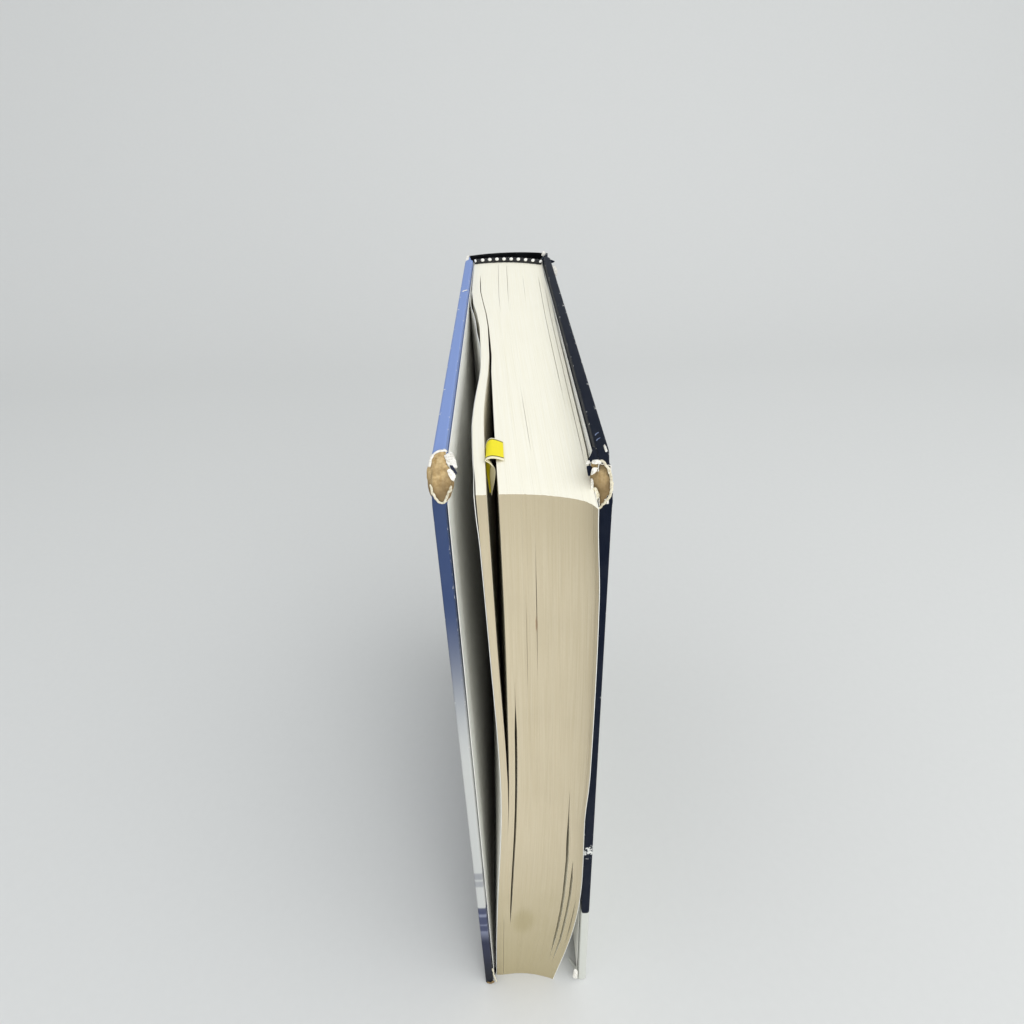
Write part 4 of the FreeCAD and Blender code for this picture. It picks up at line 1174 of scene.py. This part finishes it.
def pastedown(side, material):
    """Glued half of an endpaper, with the strip that crosses the joint."""
    margin = 3.0
    board_end = JOINT_Y - 0.5
    window_y = FORE_Y + TURN_IN
    flange_y = board_end - FLANGE
    window_top = TALL - TURN_IN
    half_step = 0.5

    def over(middle):
        """Rows or columns for the step over an edge that lies underneath."""
        return steps(middle - half_step, middle + half_step, 4)

    columns = [FORE_Y + margin] + steps(FORE_Y + 10, window_y - 0.8, 4) + over(window_y)
    columns += steps(window_y + 2, flange_y - 1, 24) + over(flange_y)
    columns += steps(flange_y + 2, board_end - 1, 8) + steps(board_end, FOLD_Y, 18)
    rows = [margin] + steps(8, TURN_IN - 0.8, 3) + over(TURN_IN) + steps(18, TALL - 18, 22)
    rows += over(window_top) + steps(window_top + 0.8, TALL - 8, 3)
    rows += steps(TALL - 7, TALL - margin, 8)

    def place(y, z):
        step = max(1 - smooth(y, window_y - half_step, window_y + half_step),
                   smooth(y, flange_y - half_step, flange_y + half_step),
                   1 - smooth(z, TURN_IN - half_step, TURN_IN + half_step),
                   smooth(z, window_top - half_step, window_top + half_step))
        x = HALF - PAPER - BOARD - 0.2 - PAPER * step - 0.05 * (fibre(y, z, side, 30.0) + 1)
        past = smooth(y, board_end, FOLD_Y) if y > board_end else 0.0
        x += 1.0 * math.sin(math.pi * past) - 0.12 * past
        if y < CORNER_END_Y:
            x -= swollen(y, z, side)
        opened = 1 - smooth(y, JOINT_Y, SHOULDER_Y)
        return in_case(x, y, z, side, opened)

    def drop(y, z):
        return y < CORNER_END_Y and corner_reach(y, z, side) < 1.2

    bm = grid(columns, rows, place, drop=drop)
    if side == FRONT:
        bmesh.ops.reverse_faces(bm, faces=bm.faces)
    word = WORD[side]
    thing = new_object(word + "_endpaper", bm, [material], closed=False)
    thicken(thing, PASTED)
    shade_smooth(thing, 60)
    start = in_case(HALF, SHOULDER_Y, TALL / 2, side, 0)
    end = in_case(HALF, JOINT_Y, TALL / 2, side, 0)
    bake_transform(thing)
    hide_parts(word + "_pastedown")


def flyleaf(side, material):
    """Free half of an endpaper, wavy from handling."""
    part, f = ("loose", 0.0) if side == FRONT else ("main", 1.0)
    ear_y = LEAF_DEEP - (FRONT_EAR if side == FRONT else BACK_EAR)
    sag = math.radians(SAG)
    columns = steps(0, 1, 46)
    rows = steps(0, 200, 24) + steps(206, LEAF_TALL - 0.3, 12)

    def place(u, z):
        fold = (FOLD_Y - BLOCK_BASE[1] + z * math.sin(sag)) / math.cos(sag)
        front = fore_y(part, f, z)
        y = front + (fold - front) * u
        if side == FRONT:
            wave = 1.15 * window(y, 116, 140, 22) * smooth(z, 120, 250)
            wave += 0.32 * window(y, -5, 4, 9) * smooth(z, 238, 249)
        else:
            wave = 0.45 * window(y, 20, 90, 30) * smooth(z, 100, 240)
        x = leaf_x(part, f, min(y, ear_y), z, -side)
        x += side * (0.05 + wave + 0.03 * (1 + fibre(y, z, side, 40.0)))
        return in_block(x, y, z)

    bm = grid(columns, rows, place)
    if side == FRONT:
        bmesh.ops.reverse_faces(bm, faces=bm.faces)
    word = WORD[side]
    thing = new_object(word + "_free_endpaper", bm, [material], closed=False)
    thicken(thing, FREE, inwards=False)
    shade_smooth(thing, 60)
    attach(thing, "book_block")
    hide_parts(word + "_flyleaf")


# ------------------------------------------------------------ bands and slip
ROLL_INSET = 0.95       # mm that the middle of a band's roll lies in from the leaves' spine edges
RIBS = 30               # turns of thread that show on a roll
RIB_DEEP = 0.07         # share of the roll's radius
STITCHES = 10
STITCH_GAP = 3.4        # mm
STITCH_SIZE = 0.95      # mm, radius
TAPE_TALL = 12.8        # mm


def band(at_head, black, white):
    """Worked band: a wound black roll with white stitches, and its tape on the spine."""
    word = "head" if at_head else "tail"
    fat = 1.15 if at_head else 1.0
    level = Vector((0, 0, LEAF_TALL + 0.95 if at_head else -0.75))
    # the leaves' spine edges lie on an arc from one ear to the other
    low = Vector((-BLOCK_HALF, LEAF_DEEP - FRONT_EAR, 0))
    high = Vector((BLOCK_HALF, LEAF_DEEP - BACK_EAR, 0))
    chord = high - low
    square = Vector((chord.y, -chord.x, 0)).normalized()
    centre = (low + high) / 2 + square * math.sqrt(SPINE_ROUND ** 2 - chord.length ** 2 / 4)
    start, stop = low - centre, high - centre
    sweep = -start.angle(stop)

    bm = bmesh.new()
    ring = bmesh.ops.create_circle(bm, segments=12, radius=fat)["verts"]
    upright = Matrix.Rotation(math.pi / 2, 4, "X")
    heading = Vector((-start.y, start.x, 0)).normalized()
    turn = Vector((0, -1, 0)).rotation_difference(heading).to_matrix().to_4x4()
    spot = low - start.normalized() * ROLL_INSET + level
    bmesh.ops.transform(bm, verts=ring, matrix=Matrix.Translation(spot) @ turn @ upright)
    bmesh.ops.spin(bm, geom=bm.verts[:] + bm.edges[:], cent=centre + level, axis=(0, 0, 1),
                   angle=sweep, steps=64, use_merge=False)
    bmesh.ops.holes_fill(bm, edges=[e for e in bm.edges if e.is_boundary], sides=0)
    for vert in bm.verts:
        # ribbed by the turns of its thread
        arm = Vector((vert.co.x, vert.co.y, 0)) - centre
        rib = RIB_DEEP * math.cos(arm.angle(start) / abs(sweep) * 2 * math.pi * RIBS)
        vert.co += (vert.co - centre - arm.normalized() * (SPINE_ROUND - ROLL_INSET) - level) * rib
        vert.co = in_block(*vert.co)
    roll = new_object(word + "_band_roll", bm, [black])
    shade_smooth(roll, 60)

    stitches = bmesh.new()
    reach = SPINE_ROUND - 1.6
    for k in range(STITCHES):
        x = (k - (STITCHES - 1) / 2) * STITCH_GAP
        spot = Vector((x, centre.y + math.sqrt(reach ** 2 - (x - centre.x) ** 2), level.z))
        spot.z += 0.6 if at_head else -0.6
        part = 0.55 if k in (0, STITCHES - 1) else 1.0
        made = bmesh.ops.create_icosphere(stitches, subdivisions=2, radius=STITCH_SIZE)["verts"]
        lean = Matrix.Rotation(math.atan2(centre.x - x, spot.y - centre.y), 4, "Z")
        lay = lean @ Matrix.Diagonal((part, 1.1, 0.75, 1))
        bmesh.ops.transform(stitches, verts=made, matrix=Matrix.Translation(spot) @ lay)
    for vert in stitches.verts:
        vert.co = in_block(*vert.co)
    thread = new_object(word + "_band_stitches", stitches, [white])
    shade_smooth(thread, 60)

    tape = bmesh.new()
    foot = LEAF_TALL - 13 if at_head else 0.2
    rim = [tape.verts.new(low + start.normalized() * 0.08 + Vector((0, 0, foot)))]
    bmesh.ops.spin(tape, geom=rim, cent=centre, axis=(0, 0, 1),
                   angle=sweep, steps=40, use_merge=False)
    made = bmesh.ops.extrude_edge_only(tape, edges=tape.edges[:])
    raised = [g for g in made["geom"] if isinstance(g, bmesh.types.BMVert)]
    bmesh.ops.translate(tape, verts=raised, vec=(0, 0, TAPE_TALL))
    for vert in tape.verts:
        vert.co = in_block(*vert.co)
    cloth = new_object(word + "_band_tape", tape, [black], closed=False)
    thicken(cloth, 0.3, inwards=False)
    for thing in (roll, thread, cloth):
        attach(thing, "book_block")
    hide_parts(word + "_band")


# the slip's two long edges, from the end on the leaves to the torn tip; block places in mm
SLIP_FAR = ((-4.2, 25.6, 254.45), (-6.0, 25.6, 255.3), (-7.4, 25.4, 255.7), (-8.5, 24.9, 255.0),
            (-9.0, 23.6, 253.4), (-9.1, 22.3, 251.5), (-9.0, 19.6, 248.5), (-8.2, 15.2, 245.4))
SLIP_NEAR = ((-4.05, 15.6, 254.45), (-6.0, 15.4, 255.2), (-7.6, 15.2, 255.4), (-8.9, 15.0, 254.9),
             (-7.7, 14.6, 254.1), (-6.5, 14.2, 252.6), (-6.8, 14.1, 249.4), (-7.7, 14.2, 245.0))


def paper_slip(settings):
    """A printed slip that lies on the leaves, arches over the slit and twists as it hangs in it."""
    half, long = 5.6, 17.0      # half its width, and its length

    def place(u, v):
        across = (v / half + 1) / 2
        spot = along_line(SLIP_FAR, u).lerp(along_line(SLIP_NEAR, u), 1 - across)
        spot.x += 0.1 * fibre(v, u * long, 0, 3.0) * u + 0.12 * math.sin(across * math.pi) * u
        spot.z -= 0.5 * max(0.0, fibre(v, 3.0, 0, 1.2)) * smooth(u, 0.93, 1.0)
        return in_block(*spot)

    bm = grid(steps(0, 1, 42), steps(-half, half, 22), place, lambda u, v: (u * long, v))
    thing = new_object("yellow_slip", bm, [printed_slip(settings)])
    thicken(thing, 0.12)
    shade_smooth(thing, 60)
    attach(thing, "book_block")
    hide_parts("paper_slip")


# ------------------------------------------------------------ stage
FLOOR = 2500            # mm from the middle of the floor to its sides
COVE = 600              # mm, radius of the bend from floor to wall, and how far back it starts
WALL_TALL = 2600        # mm
LIGHTS = (              # name, place and size in metres, share of the key light's power
    ("key_light", (0.6, -0.4, 1.25), 1.4, 1.0),
    ("front_light", (0.3, -1.35, 0.65), 1.1, 1.3),
)
LIGHT_AIM = (0, 0, 0.15)
FILL_COLOUR = (0.95, 0.97, 1.0, 1)
SENSOR = 36.0           # mm
LENS = SENSOR * 700 / 1024
CAMERA_AT = (-2.5, -247.6, 343.0)   # mm across, back and up from the case's middle on the floor
LOOKS_DOWN = 33.6       # degrees
ROLLED = -2.18          # degrees


# ------------------------------------------------------------ operators
class TEXTBOOK_OT_case(bpy.types.Operator):
    """Build the printed case in two halves, shaped round the joints where the covers stand open"""
    bl_idname = "textbook.case"
    bl_label = "Printed case"

    def execute(self, context):
        core = torn_paper("torn_paper_core", linear("F2F0E8"), linear("CFCBBF"))
        for side in (FRONT, BACK):
            case_paper(side, context.scene.textbook_covers, core)
        return {"FINISHED"}


class TEXTBOOK_OT_boards(bpy.types.Operator):
    """Build the boards with their swollen corners"""
    bl_idname = "textbook.boards"
    bl_label = "Boards"

    def execute(self, context):
        material = greyboard()
        for side in (FRONT, BACK):
            worn_board(side, material)
        return {"FINISHED"}


class TEXTBOOK_OT_tears(bpy.types.Operator):
    """Build the torn flaps and rims at the corners and the spine's shoulders"""
    bl_idname = "textbook.tears"
    bl_label = "Tears"

    def execute(self, context):
        plain_paper("slate_reverse", linear("3D444C"), linear("2E343B"), 2.0, 0.03)
        plain_paper("scratched_film", linear("7F8CA8"), linear("5A6684"), 1.0, 0.02)
        aged = torn_paper("torn_paper_aged", linear("E2DCC6"), linear("BDB398"))
        made = bpy.data.materials
        tears(made["torn_paper_core"], aged,
              made["laminated_paper_front"], made["laminated_paper_back"])
        return {"FINISHED"}


class TEXTBOOK_OT_leaves(bpy.types.Operator):
    """Build the page block"""
    bl_idname = "textbook.leaves"
    bl_label = "Leaves"

    def execute(self, context):
        page_block(context.scene.textbook_leaves)
        return {"FINISHED"}


class TEXTBOOK_OT_endpapers(bpy.types.Operator):
    """Build pastedowns and flyleaves"""
    bl_idname = "textbook.endpapers"
    bl_label = "Endpapers"

    def execute(self, context):
        material = plain_paper("endpaper_uncoated", linear("F7F7F1"), linear("F1F0E8"), 2.5, 0.008)
        for side in (FRONT, BACK):
            pastedown(side, material)
            flyleaf(side, material)
        return {"FINISHED"}


class TEXTBOOK_OT_bands(bpy.types.Operator):
    """Build the worked bands at head and tail"""
    bl_idname = "textbook.bands"
    bl_label = "Bands"

    def execute(self, context):
        black = silk("black_rayon_thread", linear("08090B"), linear("121317"))
        white = silk("white_rayon_thread", linear("E6E4DC"), linear("FAF9F4"))
        for at_head in (True, False):
            band(at_head, black, white)
        return {"FINISHED"}


class TEXTBOOK_OT_slip(bpy.types.Operator):
    """Build the paper slip in the slit"""
    bl_idname = "textbook.slip"
    bl_label = "Paper slip"

    def execute(self, context):
        paper_slip(context.scene.textbook_leaves)
        return {"FINISHED"}


class TEXTBOOK_OT_linings(bpy.types.Operator):
    """Finish the cloth, card and lining inside the spine"""
    bl_idname = "textbook.linings"
    bl_label = "Spine linings"

    def execute(self, context):
        finishes = {
            "spine_mull": woven("cotton_scrim", linear("E2DCCB"), linear("A79F8B"), 1.1),
            "spine_lining": plain_paper("kraft_paper", linear("9A7A52"), linear("7C5F3D"), 2.0, 0.04),
            "spine_inlay": plain_paper("spine_card", linear("A89C86"), linear("8F846F"), 2.5, 0.05),
        }
        finishes["front_cloth_flange"] = finishes["back_cloth_flange"] = finishes["spine_mull"]
        for node, material in finishes.items():
            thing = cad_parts[node]
            thing.data.materials.clear()
            thing.data.materials.append(material)
        return {"FINISHED"}


class TEXTBOOK_OT_stage(bpy.types.Operator):
    """Lay the pale floor, set the soft light and stand the camera"""
    bl_idname = "textbook.stage"
    bl_label = "Stage"

    def execute(self, context):
        settings = context.scene.textbook_stage
        sweep = Rail(-FLOOR, 0)
        sweep.run(COVE, 0, 12)
        sweep.turn(COVE, COVE, 90, 16)
        sweep.run(2 * COVE, WALL_TALL, 8)
        places, _, _ = sweep.read()
        bm = grid(steps(-FLOOR, FLOOR, 20), list(range(len(places))),
                  lambda x, i: Vector((x, places[i].x, places[i].y)) * MM)
        board = studio_board("studio_board", settings.floor)
        floor = new_object("floor", bm, [board], closed=False)
        shade_smooth(floor, 60)
        for name, spot, size, share in LIGHTS:
            lamp = bpy.data.lights.new(name, "AREA")
            lamp.shape = "DISK"
            lamp.size = size
            lamp.energy = settings.key * share
            holder = bpy.data.objects.new(name, lamp)
            context.scene.collection.objects.link(holder)
            holder.location = spot
            aim = Vector(LIGHT_AIM) - Vector(spot)
            holder.rotation_euler = aim.to_track_quat("-Z", "Y").to_euler()
        world = bpy.data.worlds.new("even_light")
        world.use_nodes = True
        even = world.node_tree.nodes["Background"]
        even.inputs["Color"].default_value = FILL_COLOUR
        even.inputs["Strength"].default_value = settings.fill
        context.scene.world = world
        view = bpy.data.cameras.new("camera")
        view.sensor_width = SENSOR
        view.lens = LENS
        view.clip_start = 0.01
        camera = bpy.data.objects.new("camera", view)
        context.scene.collection.objects.link(camera)
        across, back, up = CAMERA_AT
        spot = Vector((MIDDLE_X + across, BACK_Y - SPINE_Y + back, up)) * MM
        camera.matrix_world = (Matrix.Translation(spot)
                               @ Matrix.Rotation(math.pi / 2 - math.radians(LOOKS_DOWN), 4, "X")
                               @ Matrix.Rotation(math.radians(ROLLED), 4, "Z"))
        context.scene.camera = camera
        context.scene.view_settings.view_transform = "Standard"
        return {"FINISHED"}


class TEXTBOOK_PT_panel(bpy.types.Panel):
    """Lists what can be built"""
    bl_label = "Worn hardcover textbook"
    bl_idname = "TEXTBOOK_PT_panel"
    bl_space_type = "VIEW_3D"
    bl_region_type = "UI"
    bl_category = "Textbook"

    def draw(self, context):
        for group in ("textbook_covers", "textbook_leaves", "textbook_stage"):
            settings = getattr(context.scene, group)
            box = self.layout.box()
            for name in settings.__annotations__:
                box.prop(settings, name)
        for operator in OPERATORS:
            self.layout.operator(operator.bl_idname)


SETTINGS = {
    "textbook_covers": TextbookCoverSettings,
    "textbook_leaves": TextbookLeafSettings,
    "textbook_stage": TextbookStageSettings,
}
OPERATORS = (
    TEXTBOOK_OT_stage,
    TEXTBOOK_OT_case,
    TEXTBOOK_OT_boards,
    TEXTBOOK_OT_tears,
    TEXTBOOK_OT_leaves,
    TEXTBOOK_OT_endpapers,
    TEXTBOOK_OT_bands,
    TEXTBOOK_OT_slip,
    TEXTBOOK_OT_linings,
)


def register():
    for name, group in SETTINGS.items():
        bpy.utils.register_class(group)
        setattr(bpy.types.Scene, name, PointerProperty(type=group))
    for made in OPERATORS + (TEXTBOOK_PT_panel,):
        bpy.utils.register_class(made)


def unregister():
    for made in (TEXTBOOK_PT_panel,) + OPERATORS[::-1]:
        bpy.utils.unregister_class(made)
    for name, group in SETTINGS.items():
        delattr(bpy.types.Scene, name)
        bpy.utils.unregister_class(group)


def main():
    register()
    for operator in OPERATORS:
        group, name = operator.bl_idname.split(".")
        getattr(getattr(bpy.ops, group), name)()


if __name__ == "__main__":
    main()
